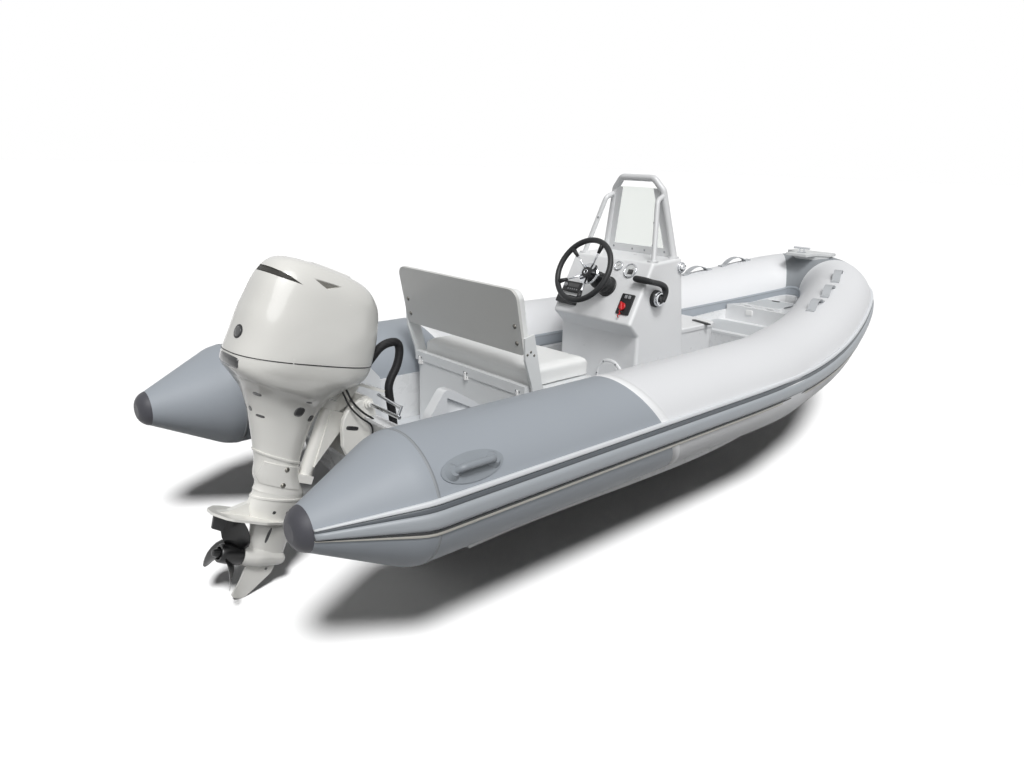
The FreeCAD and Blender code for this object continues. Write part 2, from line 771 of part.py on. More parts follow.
def cushion():
    """Seat cushion on the hinged tray."""
    low = bench_split_z + bench_lid_thickness + 2 * joint_gap
    shape = box(bench_aft_x + 26 + 4, bench_front_x, -bench_half + cushion_inset,
                bench_half - cushion_inset, low, low + cushion_thickness)
    return fillet_where(shape, 22.0, lambda m, d: m.z > low + 1 and abs(d.z) < 0.5)


def backrest_plane(along, height):
    """A point of the backrest's aft face: along its length and up its slope as a share."""
    x = backrest_low_x + height * (backrest_high_x - backrest_low_x)
    z = backrest_low_z + height * (backrest_high_z - backrest_low_z)
    return V(x, along, z)


def backrest_slab(offset, thickness, inset):
    """A slab parallel to the backrest with rounded upper corners."""
    slope = (backrest_plane(0, 1) - backrest_plane(0, 0)).normalize()
    normal = V(slope.z, 0, -slope.x)
    height = (backrest_plane(0, 1) - backrest_plane(0, 0)).Length
    slab = box(0, thickness, -backrest_half + inset, backrest_half - inset, inset, height - inset)
    slab = fillet_where(slab, 48.0 - inset * 0.5, lambda m, d: abs(d.x) > 0.9 and m.z > height / 2)
    slab = fillet_where(slab, 20.0, lambda m, d: abs(d.x) > 0.9 and m.z < height / 2)
    turn = math.degrees(math.atan2(slope.x, slope.z))
    slab.rotate(V(0, 0, 0), V(0, 1, 0), turn)
    slab.translate(backrest_plane(0, 0) + normal * offset)
    return slab


def backrest_board():
    """Rigid back board of the bench."""
    return backrest_slab(0.0, backrest_board_thickness, 0.0)


def backrest_pad():
    """Padded front of the backrest."""
    return backrest_slab(backrest_board_thickness + joint_gap, backrest_pad_thickness, 6.0)


def backrest_brackets():
    """Side brackets from the tray to the back board."""
    low = bench_split_z + joint_gap
    gap = 5.0
    inner = backrest_half + joint_gap
    plate = 12.0
    points = [(bench_aft_x + 20, low), (bench_aft_x + 95, low), (bench_aft_x + 70, low + 60),
              (backrest_low_x + 62, backrest_low_z + 30), (backrest_low_x + 48, backrest_low_z + 92),
              (backrest_low_x - 8, backrest_low_z + 80), (backrest_low_x - 2, backrest_low_z - 20),
              (bench_aft_x + 8, low + 60)]
    side = side_profile(points, plate / 2, inner + plate / 2)
    foot = box(bench_aft_x + 20, bench_aft_x + 95, bench_half + gap + joint_gap, inner + plate,
               low, low + bench_lid_thickness)
    port = fuse([side, foot])
    return Part.makeCompound([port, mirrored(port)])


def dash_normal():
    """Outward direction of the sloping dash."""
    slope = V(dash_top_x - console_lip_x, 0, dash_top_z - console_lip_z).normalize()
    return V(-slope.z, 0, slope.x)


def dash_point(height, y, stand_off=0.0):
    """A point of the dash: height as a share up its slope."""
    x = console_lip_x + height * (dash_top_x - console_lip_x)
    z = console_lip_z + height * (dash_top_z - console_lip_z)
    return V(x, y, z) + dash_normal() * stand_off


def helm_hub():
    """Helm housing on the dash behind the steering wheel."""
    base = dash_point(helm_height, wheel_y, joint_gap)
    flange = cylinder(helm_radius + 8, base, base + dash_normal() * 10)
    body = Part.makeCone(helm_radius, helm_radius - 4, helm_length, base, dash_normal())
    shaft_end = dash_point(helm_height, wheel_y, wheel_stand_off - wheel_dish - joint_gap)
    neck = cylinder(14.0, base + dash_normal() * (helm_length - 5), shaft_end)
    return fuse([flange, body, neck])


def steering_wheel():
    """Dished wheel with thin spokes and a padded rim."""
    centre = dash_point(helm_height, wheel_y, wheel_stand_off)
    normal = dash_normal()
    hub_back = dash_point(helm_height, wheel_y, wheel_stand_off - wheel_dish)
    rim = Part.makeTorus(wheel_radius - wheel_rim_radius, wheel_rim_radius, centre, normal)
    dish = Part.makeCone(hub_radius * 0.75, hub_radius, 34.0, hub_back, normal)
    cap = cylinder(30.0, hub_back + normal * 30, hub_back + normal * 60)
    side = V(0, 1, 0)
    up = normal.cross(side) * -1
    shapes = [rim, dish, cap]
    for index in range(spoke_count):
        turn = 2 * math.pi * index / spoke_count + math.radians(spoke_start)
        way = side * math.cos(turn) + up * math.sin(turn)
        start = hub_back + normal * 40 + way * 22
        end = centre + way * (wheel_radius - 1.5 * wheel_rim_radius)
        shapes.append(cylinder(5.5, start, end))
    return fuse(shapes)


def gauges():
    """Round instruments on the dash."""
    shapes = []
    for height, y, radius in gauge_places:
        base = dash_point(height, y, joint_gap)
        shapes.append(cylinder(radius, base, base + dash_normal() * 10))
    return Part.makeCompound(shapes)


def throttle():
    """Control box on the console's starboard side, with its lever and grip."""
    side = -console_half - joint_gap
    centre = V(throttle_x, side, throttle_z)
    pod = cylinder(46.0, centre, centre - V(0, 26, 0))
    ring = cylinder(32.0, centre - V(0, 24, 0), centre - V(0, 44, 0))
    bend = centre + V(-30, -36, 66)
    top = centre + V(-107, -36, 104)
    lever = rounded_tube([centre - V(0, 36, 0), bend, top], 11.0, 24.0)
    grip = cylinder(14.0, top + V(0, -16, 0), top + V(-6, 96, 6))
    return fuse([pod, ring, lever, grip])


def on_dash(height, y, half_height, half_width, thickness):
    """A flat box on the dash about a centre given as for a dash point."""
    centre = dash_point(height, y, joint_gap)
    normal = dash_normal()
    slope = V(normal.z, 0, -normal.x)
    corners = [centre + V(0, across, 0) + slope * up
               for across, up in ((-half_width, -half_height), (half_width, -half_height),
                                  (half_width, half_height), (-half_width, half_height))]
    return Part.Face(Part.makePolygon(corners + corners[:1])).extrude(normal * thickness)


def switch_panel():
    """Switch plate on the dash with its turning switch."""
    plate = on_dash(0.31, -208.0, 58.0, 43.0, 8.0)
    centre = dash_point(0.25, -205.0, joint_gap)
    knob = cylinder(16.0, centre + dash_normal() * 4, centre + dash_normal() * 26)
    return fuse([plate, knob])


def radio():
    """Flat sound unit and its lower box, under the wheel."""
    upper = on_dash(0.42, 195.0, 30.0, 66.0, 16.0)
    lower = on_dash(0.20, 195.0, 24.0, 70.0, 30.0)
    web = on_dash(0.31, 195.0, 30.0, 30.0, 6.0)
    return fuse([upper, lower, web])


def lamp():
    """Navigation lamp on the console's starboard side, high at the front."""
    side = V(lamp_x, -console_half - joint_gap, lamp_z)
    foot = cylinder(lamp_radius, side, side - V(0, 8, 0))
    head = Part.makeSphere(lamp_radius - 3, side - V(0, 4, 0))
    head = head.common(box(lamp_x - 60, lamp_x + 60, side.y - 60, side.y - 2, lamp_z - 60, lamp_z + 60))
    return fuse([foot, head])


def console_top_z(x):
    """Height of the console's top at a place along it."""
    share = (x - dash_top_x) / (console_front_top_x - dash_top_x)
    return dash_top_z + share * (console_front_top_z - dash_top_z)


def grab_rail():
    """Bent tube hoop round the windscreen with two side stays."""
    base_z = console_top_z(rail_base_x - 40) + joint_gap
    base_x = rail_base_x - 40
    shoulder_z = rail_top_z - 62
    shoulder_x = rail_top_x + 14
    base_z = base_z - 8
    hoop_points = [V(base_x, rail_base_half, base_z), V(shoulder_x, rail_shoulder_half, shoulder_z),
                   V(rail_top_x, rail_top_half, rail_top_z), V(rail_top_x, -rail_top_half, rail_top_z),
                   V(shoulder_x, -rail_shoulder_half, shoulder_z), V(base_x, -rail_base_half, base_z)]
    hoop = rounded_tube(hoop_points, rail_radius, 34.0)
    stay_z = console_top_z(stay_base_x) - 8
    stay_points = [V(shoulder_x + 8, rail_shoulder_half + 4, shoulder_z - 24),
                   V(shoulder_x - 62, rail_shoulder_half + 14, shoulder_z - 52),
                   V(stay_base_x, rail_base_half + 5, stay_z)]
    stay = rounded_tube(stay_points, rail_radius * 0.72, 40.0)
    feet = []
    for x, half in ((base_x, rail_base_half), (stay_base_x, rail_base_half + 5)):
        z = console_top_z(x) + joint_gap
        feet.append(cylinder(30.0, V(x, half - 4, z - 6), V(x, half - 4, z + 6)))
    side = [stay, mirrored(stay)] + feet + [mirrored(foot) for foot in feet]
    rail = fuse([hoop] + side + screen_flanges())
    return rail.cut(under_console_top(rail_base_half + 80))


def under_console_top(half_width):
    """The space under the plane of the console's top, up to its clearance."""
    ends = [(x, console_top_z(x) + joint_gap) for x in (dash_top_x - 100, console_front_top_x + 200)]
    return side_profile([(ends[0][0], 600.0), (ends[1][0], 600.0), ends[1], ends[0]], half_width)


def screen_plate(outline, aft, thickness):
    """A flat plate in the screen's leaning plane: its outline as places across and shares of the height."""
    base_x = rail_base_x - 40
    low_z = console_top_z(base_x) - 4
    high_z = rail_top_z - 50
    lean = (rail_top_x - base_x) / (rail_top_z - low_z)
    corners = []
    for y, share in outline:
        rise = share * (high_z - low_z)
        corners.append(V(base_x + rise * lean - aft, y, low_z + rise))
    return Part.Face(Part.makePolygon(corners + corners[:1])).extrude(V(thickness, 0, 0))


def screen_flanges():
    """Flat strips inside the hoop that hold the screen's sides and foot."""
    aft = flange_thickness + joint_gap
    low = screen_low_half - flange_lap
    high = screen_high_half - flange_lap
    port = screen_plate([(low, 0.0), (rail_base_half - 8, 0.0), (rail_shoulder_half - 14, 0.99), (high, 0.99)],
                        aft, flange_thickness)
    foot = screen_plate([(-low - 5, 0.0), (low + 5, 0.0), (low + 2, 0.13), (-low - 2, 0.13)],
                        aft, flange_thickness)
    return [port, mirrored(port), foot]


def windscreen():
    """Clear panel inside the hoop."""
    panel = screen_plate([(-screen_low_half, 0.0), (screen_low_half, 0.0), (screen_high_half, 1.0),
                          (-screen_high_half, 1.0)], 0.0, screen_thickness)
    return panel.cut(under_console_top(screen_low_half + 20))


def bow_locker():
    """Raised platform and locker that fill the bow between the tubes."""
    low = platform_z - platform_thickness
    high = locker_top_z - locker_lid_thickness
    platform = liner_plan(liner_thickness + 1, platform_x - 2, locker_aft_x + 5, low, platform_z)
    block = liner_plan(liner_thickness + 1, locker_aft_x, locker_front_x, low, high)
    shape = fuse([platform, block]).cut(TUBE_SPACE)
    floor = low + 8
    well = plan_profile([(locker_well_aft_x, -locker_well_half), (locker_well_front_x, -34.0),
                         (locker_well_front_x, 34.0), (locker_well_aft_x, locker_well_half)], floor, high + 20)
    return shape.cut(well)


def locker_lid():
    """Hinged three-cornered hatch over the bow locker."""
    low = locker_top_z - locker_lid_thickness + joint_gap
    margin = locker_lid_margin
    points = [(locker_well_aft_x - margin, -locker_well_half - margin), (locker_well_front_x + margin, -34.0),
              (locker_well_front_x + margin, 34.0), (locker_well_aft_x - margin, locker_well_half + margin)]
    lid = plan_profile(points, low, locker_top_z)
    lid = fillet_where(lid, 16.0, lambda m, d: abs(d.z) > 0.9)
    return fuse([lid] + hinge_barrels(locker_hinge, (-90.0, 90.0)))


def step_seat_z():
    """Top of the tube at the middle of the bow."""
    return tube_axis_z + sheer_rise + tube_radius + joint_gap


def bow_step():
    """Moulded step over the tube at the bow, with a tongue for the cleat."""
    z = step_seat_z()
    points = [(step_aft_x, -step_tongue_half), (step_waist_x, -step_tongue_half), (step_waist_x + 40, -step_half),
              (step_front_x, -step_half), (step_front_x, step_half), (step_waist_x + 40, step_half),
              (step_waist_x, step_tongue_half), (step_aft_x, step_tongue_half)]
    plate = plan_profile(points, z, z + step_thickness)
    plate = fillet_where(plate, 24.0, lambda m, d: abs(d.z) > 0.9)
    block = box(step_aft_x + 30, step_front_x - 20, -step_tongue_half + 16, step_tongue_half - 16, z - 120, z + 2)
    return fuse([plate, block]).cut(TUBE_SPACE[2])


def bow_cleat():
    """Mooring cleat on the bow step."""
    z = step_seat_z() + step_thickness + joint_gap
    x = step_aft_x + 75
    foot = box(x - 16, x + 16, -26, 26, z, z + 8)
    posts = [cylinder(6.0, V(x, y, z + 6), V(x, y, z + 34)) for y in (-17, 17)]
    horn = cylinder(8.0, V(x, -62, z + 34), V(x, 62, z + 34))
    return fuse([foot, horn] + posts)


def on_tube(x, angle, distance):
    """A point about the straight port tube's centre line."""
    turn = math.radians(angle)
    return V(x, tube_half_spacing + distance * math.cos(turn), tube_axis_z + distance * math.sin(turn))


def carry_handle():
    """Moulded handle on the port aft tube, on an oval pad."""
    surface = tube_radius + joint_gap
    points = [on_tube(handle_x - handle_reach, handle_angle, tube_radius + 4),
              on_tube(handle_x - handle_reach * 0.72, handle_angle, tube_radius + handle_lift),
              on_tube(handle_x + handle_reach * 0.72, handle_angle, tube_radius + handle_lift),
              on_tube(handle_x + handle_reach, handle_angle, tube_radius + 4)]
    bar = rounded_tube(points, handle_bar_radius, 22.0)
    shapes = [bar]
    outward = on_tube(0, handle_angle, 1) - on_tube(0, handle_angle, 0)
    for x in (handle_x - handle_reach, handle_x + handle_reach):
        start = on_tube(x, handle_angle, tube_radius - 10)
        shapes.append(Part.makeCone(40.0, 17.0, 32.0, start, outward))
    centre = on_tube(handle_x, handle_angle, tube_radius - 60)
    oval = Part.Ellipse(V(0, 0, 0), handle_pad_length / 2, handle_pad_width / 2).toShape()
    pad = Part.Face(Part.Wire(oval)).extrude(V(0, 0, 120))
    pad.rotate(V(0, 0, 0), V(1, 0, 0), handle_angle - 90)
    pad.translate(centre)
    skin = straight_tube(surface + handle_pad_thickness, -700, bow_start_x)
    shapes.append(pad.common(skin))
    return fuse(shapes).cut(straight_tube(surface, -700, bow_start_x))


def tape_handle(x):
    """Webbing handle arched over the top of the port tube."""
    share = bow_share(x)
    here = bow_point(share)
    ahead = (bow_point(share + 0.002) - bow_point(share - 0.002)).normalize()
    across = V(0, 0, 1).cross(ahead).normalize()
    up = ahead.cross(across)
    r = tube_radius + joint_gap
    reach = tape_length / 2
    crown = tape_lift
    outer = Part.Arc(V(-reach * 0.72, 0, r + 4), V(0, 0, r + crown), V(reach * 0.72, 0, r + 4)).toShape()
    inner = Part.Arc(V(reach * 0.66, 0, r + 3), V(0, 0, r + crown - 3.5), V(-reach * 0.66, 0, r + 3)).toShape()
    loop = [V(-reach * 0.66, 0, r + 3), V(-reach * 0.66, 0, r - 6), V(-reach, 0, r - 6), V(-reach, 0, r + 4),
            V(-reach * 0.72, 0, r + 4)]
    loop_front = [V(reach * 0.72, 0, r + 4), V(reach, 0, r + 4), V(reach, 0, r - 6), V(reach * 0.66, 0, r - 6),
                  V(reach * 0.66, 0, r + 3)]
    edges = [Part.makeLine(a, b) for a, b in zip(loop, loop[1:])] + [outer]
    edges += [Part.makeLine(a, b) for a, b in zip(loop_front, loop_front[1:])] + [inner]
    face = Part.Face(Part.Wire(Part.sortEdges(edges)[0]))
    face.translate(V(0, -tape_width / 2, 0))
    strap = face.extrude(V(0, tape_width, 0))
    strap.Placement = FreeCAD.Placement(here, FreeCAD.Rotation(ahead, across, up, "XZY"))
    return strap.cut(TUBE_SPACE[2])


def tape_handles():
    """The row of webbing handles on the port bow quarter."""
    return Part.makeCompound([tape_handle(x) for x in tape_places])


def rotate_motor(shape):
    """Turn a piece of the motor from upright to its tilt at rest."""
    copy = shape.copy()
    copy.rotate(V(tilt_x, 0, tilt_z), V(0, 1, 0), rest_tilt)
    return copy


def tilted(point):
    """A point of the upright motor at its tilt at rest."""
    turn = math.radians(rest_tilt)
    x = point.x - tilt_x
    z = point.z - tilt_z
    return V(tilt_x + x * math.cos(turn) + z * math.sin(turn), point.y,
             tilt_z - x * math.sin(turn) + z * math.cos(turn))


def rounded_section(x0, x1, half, z, corner):
    """A rounded rectangle in plan, as a wire."""
    points = [(x0 + corner, -half), (x1 - corner, -half), (x1, -half + corner), (x1, half - corner),
              (x1 - corner, half), (x0 + corner, half), (x0, half - corner), (x0, -half + corner)]
    c = math.sqrt(0.5)
    middles = {1: (x1 - corner * (1 - c), -half + corner * (1 - c)),
               3: (x1 - corner * (1 - c), half - corner * (1 - c)),
               5: (x0 + corner * (1 - c), half - corner * (1 - c)),
               7: (x0 + corner * (1 - c), -half + corner * (1 - c))}
    edges = []
    for index in range(8):
        a = V(points[index][0], points[index][1], z)
        b = V(points[(index + 1) % 8][0], points[(index + 1) % 8][1], z)
        if index in middles:
            edges.append(Part.Arc(a, V(middles[index][0], middles[index][1], z), b).toShape())
        else:
            edges.append(Part.makeLine(a, b))
    return Part.Wire(edges)


def plan_section(z, aft, front, half, power, grow=0.0):
    """A section in plan, squarer than an oval as its power rises above two."""
    centre = (aft + front) / 2
    reach = (front - aft) / 2 + grow
    points = []
    for index in range(16):
        turn = 2 * math.pi * index / 16
        c = math.cos(turn)
        s = math.sin(turn)
        along = math.copysign(abs(c) ** (2 / power), c)
        across = math.copysign(abs(s) ** (2 / power), s)
        points.append(V(centre + reach * along, (half + grow) * across, z))
    curve = Part.BSplineCurve()
    curve.interpolate(Points=points, PeriodicFlag=True)
    return Part.Wire(curve.toShape())


def split_z(x):
    """Height of the plane that divides the cowl, at a place along it."""
    return cowl_split_aft[1] + cowl_split_slope * (x - cowl_split_aft[0])


def cowl_side(above):
    """Everything above the plane that divides the cowl, or everything below it."""
    far = 400.0
    drop = 0.0 if above else joint_gap
    ends = [(x, split_z(x) - drop) for x in (-900.0, 100.0)]
    level = cowl_sections[-1][0] + far if above else cowl_sections[0][0] - far
    return side_profile(ends + [(100.0, level), (-900.0, level)], far)


def cowl_body():
    """Both cowls as one body, with a solid floor and roof."""
    outer = Part.makeLoft([plan_section(*line, plan_power) for line in cowl_sections], True, False)
    inside = [line for line in cowl_sections if cowl_floor_z < line[0] < cowl_ceiling_z]
    inner_lines = [(cowl_floor_z,) + cowl_sections[2][1:]] + inside
    inner_lines.append((cowl_ceiling_z,) + cowl_sections[10][1:])
    inner = Part.makeLoft([plan_section(*line, plan_power, -cowl_wall) for line in inner_lines], True, False)
    return outer.cut(inner)


COWL = cowl_body()


def cowl_upper():
    """Hollow upper cowl with its air scoop and the recess on each side."""
    shape = COWL.common(cowl_side(True))
    slot = side_profile(scoop_outline, 260.0)
    core_half = cowl_sections[10][3] - scoop_depth
    core = box(scoop_core_x, 0, -core_half, core_half, 700.0, 900.0)
    shape = shape.cut(slot.cut(core))
    half = cowl_sections[11][3]
    recess = side_profile(recess_outline, 60.0, half - recess_depth + 60.0)
    return shape.cut(recess).cut(mirrored(recess))


def cowl_lower():
    """Hollow lower cowl that carries the upper one."""
    return COWL.common(cowl_side(False))


def powerhead():
    """The engine inside the cowl, as one plain block."""
    return box(-590, -262, -108, 108, cowl_floor_z + joint_gap, cowl_ceiling_z - 18)


def leg(lines, grow=0.0):
    """A length of the leg, lofted between its sections."""
    return Part.makeLoft([plan_section(*line, grow) for line in lines], True, False)


def leg_trim(lines, outline):
    """A raised part of the leg's skin within a side outline."""
    return leg(lines, ridge_height).common(side_profile(outline, 200.0))


def midsection():
    """Exhaust housing between the cowl and the gearcase, with its steering pin and side covers."""
    body = leg(leg_top_sections)
    top = leg_top_sections[-1][0]
    x = swivel_axis_x
    yoke_top = box(x - 110, x + 18, -yoke_half, yoke_half, swivel_top_z + joint_gap, top)
    yoke_low = box(x - 110, x + 26, -yoke_half, yoke_half, swivel_bottom_z - 34, swivel_bottom_z - joint_gap)
    pin = cylinder(swivel_pin_radius, V(x, 0, swivel_bottom_z - 10), V(x, 0, swivel_top_z + 10))
    trim = [leg_trim(leg_top_sections, outline) for outline in (leg_cover, leg_seam)]
    return fuse([body, yoke_top, yoke_low, pin] + trim)


def steering_arm():
    """Tiller arm that reaches forward over the tilt tube."""
    low = tilt_z + steering_arm_lift - steering_arm_thickness / 2
    high = low + steering_arm_thickness
    tip = swivel_axis_x + steering_arm_reach + 14
    start = (swivel_axis_x + 18.3, swivel_top_z + joint_gap)
    points = [start] + list(steering_arm_under) + [(tip, low), (tip, high)] + list(steering_arm_over)
    return side_profile(points, 17.0)


def steering_ram():
    """Cable ram that slides in the tilt tube, with its drag link to the arm."""
    eye = V(tilt_x, -ram_reach, tilt_z)
    rod = cylinder(ram_radius, eye - V(0, 12, 0), V(tilt_x, 20, tilt_z))
    top = eye + V(0, 0, link_lift)
    stud = cylinder(link_radius - 1, eye, top + V(0, 0, link_radius + 3))
    end = V(swivel_axis_x + steering_arm_reach, 0, tilt_z + link_lift)
    link = cylinder(link_radius, top, end)
    return fuse([rod, stud, link])


def trim_geometry():
    """Lower pin and rod eye of the trim cylinder with the motor at rest."""
    return V(trim_pin_x, 0, trim_pin_z), tilted(V(trim_eye_x, 0, trim_eye_z))


def trim_cylinder():
    """Hydraulic cylinder between the clamp plates."""
    pin, eye = trim_geometry()
    way = (eye - pin).normalize()
    knuckle = cylinder(18.0, pin + V(0, -18, 0), pin + V(0, 18, 0))
    barrel = cylinder(trim_cylinder_radius, pin + way * 12, pin + way * trim_cylinder_length)
    shape = fuse([knuckle, barrel])
    shape = shape.cut(cylinder(trim_pin_radius + running_gap, pin + V(0, -40, 0), pin + V(0, 40, 0)))
    return shape.cut(cylinder(trim_rod_radius + running_gap, pin + way * 40, pin + way * 200))


def trim_rod():
    """Rod of the trim cylinder with the eye that meets the swivel bracket."""
    pin, eye = trim_geometry()
    way = (eye - pin).normalize()
    rod = cylinder(trim_rod_radius, pin + way * 80, eye)
    end = cylinder(14.0, eye + V(0, -16, 0), eye + V(0, 16, 0))
    return fuse([rod, end])


def gearcase():
    """Lower unit with its plate, torpedo and skeg."""
    strut = leg(leg_low_sections)
    port = [(x, y) for x, y in plate_outline]
    starboard = [(x, -y) for x, y in reversed(plate_outline)]
    plate = plan_profile(port + starboard, plate_z, plate_z + plate_thickness)
    plate = fillet_where(plate, plate_corner, lambda m, d: abs(d.z) > 0.9)
    web = side_profile(tail_web, 13.0)
    ridge = leg_trim(leg_low_sections, splash_ridge)
    nose = gearcase_nose_x
    r = gearcase_radius
    profile = Part.BSplineCurve()
    profile.interpolate(Points=[V(nose, 0, 0), V(nose - 40, r * 0.72, 0), V(nose - 110, r, 0),
                                V(gearcase_aft_x, r * 0.93, 0)], InitialTangent=V(0, 1, 0),
                        FinalTangent=V(-1, -0.08, 0))
    edges = [profile.toShape(), Part.makeLine(V(gearcase_aft_x, r * 0.93, 0), V(gearcase_aft_x, 0, 0)),
             Part.makeLine(V(gearcase_aft_x, 0, 0), V(nose, 0, 0))]
    torpedo = Part.Face(Part.Wire(edges)).revolve(V(0, 0, 0), V(1, 0, 0), 360)
    torpedo.translate(V(0, 0, shaft_z))
    skeg = rounded_profile(skeg_outline, 14.0, 5.0)
    shaft = cylinder(shaft_radius, V(gearcase_aft_x + 20, 0, shaft_z),
                     V(gearcase_aft_x - 3 - shaft_reach, 0, shaft_z))
    return fuse([strut, plate, web, ridge, torpedo, skeg, shaft])


def trim_tab():
    """Small fin under the plate behind the leg."""
    return side_profile([(-520, plate_z - joint_gap), (-450, plate_z - joint_gap),
                         (-468, plate_z - 68), (-510, plate_z - 60)], 6.0)


def propeller():
    """Three twisted blades on a tapered hub."""
    start = gearcase_aft_x - 3.0
    hub = Part.makeCone(propeller_hub_radius, propeller_hub_radius * 0.86, propeller_hub_length,
                        V(start, 0, 0), V(-1, 0, 0))
    nut = Part.makeCone(20.0, 12.0, 26.0, V(start - propeller_hub_length, 0, 0), V(-1, 0, 0))
    bore = cylinder(shaft_radius + running_gap, V(start + 1, 0, 0), V(start - shaft_reach - 2, 0, 0))
    shapes = [hub, nut]
    for index in range(blade_count):
        blade = blade_shape(start - propeller_hub_length * 0.5)
        blade.rotate(V(0, 0, 0), V(1, 0, 0), 360.0 / blade_count * index)
        shapes.append(blade)
    shape = fuse(shapes).cut(bore)
    shape.translate(V(0, 0, shaft_z))
    return shape


def blade_shape(x):
    """One blade, lofted from its root to its tip."""
    wires = []
    for radius, chord, pitch, thick in ((30.0, 78.0, 62.0, 9.0), (70.0, 112.0, 42.0, 7.0),
                                        (110.0, 122.0, 31.0, 5.0), (138.0, 88.0, 26.0, 3.5),
                                        (149.0, 40.0, 24.0, 2.4)):
        turn = math.radians(pitch)
        ahead = V(math.sin(turn), math.cos(turn), 0)
        across = V(math.cos(turn), -math.sin(turn), 0)
        centre = V(x, 0, radius)
        corners = [centre + ahead * (chord * u / 2) + across * (thick * w / 2)
                   for u, w in ((-1, 0), (0, 1), (1, 0), (0, -1))]
        edges = [Part.Arc(corners[0], corners[1], corners[2]).toShape(),
                 Part.Arc(corners[2], corners[3], corners[0]).toShape()]
        wires.append(Part.Wire(edges))
    return Part.makeLoft(wires, True, False)


def transom_face_x(z):
    """Aft face of the transom at a height."""
    return -z * math.tan(math.radians(transom_rake))


def clamp_bracket():
    """Pair of clamp plates bolted to the transom, joined by the tilt tube."""
    low = 60.0
    inner = clamp_gap_half
    outer = clamp_gap_half + clamp_plate
    gap = joint_gap
    hook = transom_top_z + 2 * joint_gap
    aft = transom_face_x(transom_top_z) - 8
    front = aft + transom_thickness + 20
    points = [(transom_face_x(low) - gap, low), (transom_face_x(transom_top_z - 20) - gap, hook - 20),
              (aft, hook - 16), (aft, hook), (front - 10, hook), (front - 10, hook + 12)]
    plate = side_profile(points + list(clamp_outline) + [(transom_face_x(low) - 30, low)],
                         clamp_plate / 2, (inner + outer) / 2)
    plate = fillet_where(plate, 5.0, lambda m, d: m.y > outer - 0.1 and m.x < tilt_x + 10 and m.z > low + 20
                         and m.x < transom_face_x(m.z) - 12)
    ends = outer + 26
    tube = cylinder(tilt_tube_radius, V(tilt_x, -ends, tilt_z), V(tilt_x, ends, tilt_z))
    collar = cylinder(20.0, V(tilt_x, outer - 2, tilt_z), V(tilt_x, outer + 8, tilt_z))
    pin = cylinder(trim_pin_radius, V(trim_pin_x, -inner - 4, trim_pin_z), V(trim_pin_x, inner + 4, trim_pin_z))
    shape = fuse([plate, mirrored(plate), collar, mirrored(collar), tube, pin])
    return shape.cut(cylinder(tilt_tube_bore, V(tilt_x, -ends - 1, tilt_z), V(tilt_x, ends + 1, tilt_z)))


def swivel_bracket():
    """Casting that turns on the tilt tube and carries the steering pivot, upright."""
    half = clamp_gap_half - 5
    head = cylinder(26.0, V(tilt_x, -half, tilt_z), V(tilt_x, half, tilt_z))
    barrel = cylinder(swivel_barrel_radius, V(swivel_axis_x, 0, swivel_bottom_z),
                      V(swivel_axis_x, 0, swivel_top_z))
    outline = [(tilt_x - 16, tilt_z + 16), (tilt_x + 4, tilt_z - 22), (trim_eye_x + 24, trim_eye_z + 34),
               (trim_eye_x + 20, trim_eye_z - 16), (swivel_axis_x + 20, 90), (swivel_axis_x + 10, 60),
               (swivel_axis_x, swivel_top_z), (swivel_axis_x + 64, swivel_top_z)]
    web = side_profile(outline, 7.0, 30.0)
    shape = fuse([head, barrel, web, mirrored(web)])
    shape = shape.cut(cylinder(tilt_tube_radius + running_gap, V(tilt_x, -200, tilt_z), V(tilt_x, 200, tilt_z)))
    return shape.cut(cylinder(swivel_pin_radius + running_gap, V(swivel_axis_x, 0, -50),
                              V(swivel_axis_x, 0, 400)))


shapes = {
    "hull": hull(),
    "transom": transom(),
    "transom_cap": transom_cap(),
    "transom_knees": transom_knees(),
    "deck": deck(),
    "tube_aft_port": tube_aft(),
    "tube_aft_starboard": mirrored(tube_aft()),
    "tube_mid_port": tube_mid(1),
    "tube_mid_starboard": tube_mid(-1),
    "tube_bow": tube_bow(),
    "cone_cap_port": cone_cap(),
    "cone_cap_starboard": mirrored(cone_cap()),
    "rub_strake": rub_strake(),
    "carry_handle_port": carry_handle(),
    "carry_handle_starboard": mirrored(carry_handle()),
    "tape_handles_port": tape_handles(),
    "tape_handles_starboard": mirrored(tape_handles()),
    "console": console(),
    "front_seat": front_seat(),
    "front_seat_lid": front_seat_lid(),
    "bench_base": bench_base(),
    "bench_lid": bench_lid(),
    "bench_cushion": cushion(),
    "backrest_board": backrest_board(),
    "backrest_pad": backrest_pad(),
    "backrest_brackets": backrest_brackets(),
    "helm_hub": helm_hub(),
    "steering_wheel": steering_wheel(),
    "gauges": gauges(),
    "throttle": throttle(),
    "switch_panel": switch_panel(),
    "radio": radio(),
    "lamp": lamp(),
    "grab_rail": grab_rail(),
    "windscreen": windscreen(),
    "bow_locker": bow_locker(),
    "bow_locker_lid": locker_lid(),
    "bow_step": bow_step(),
    "bow_cleat": bow_cleat(),
    "clamp_bracket": clamp_bracket(),
    "trim_cylinder": trim_cylinder(),
    "trim_rod": trim_rod(),
}
upright = {
    "swivel_bracket": swivel_bracket(),
    "cowl_upper": cowl_upper(),
    "cowl_lower": cowl_lower(),
    "powerhead": powerhead(),
    "midsection": midsection(),
    "steering_arm": steering_arm(),
    "steering_ram": steering_ram(),
    "gearcase": gearcase(),
    "trim_tab": trim_tab(),
    "propeller": propeller(),
}
for name, shape in upright.items():
    shapes[name] = rotate_motor(shape)

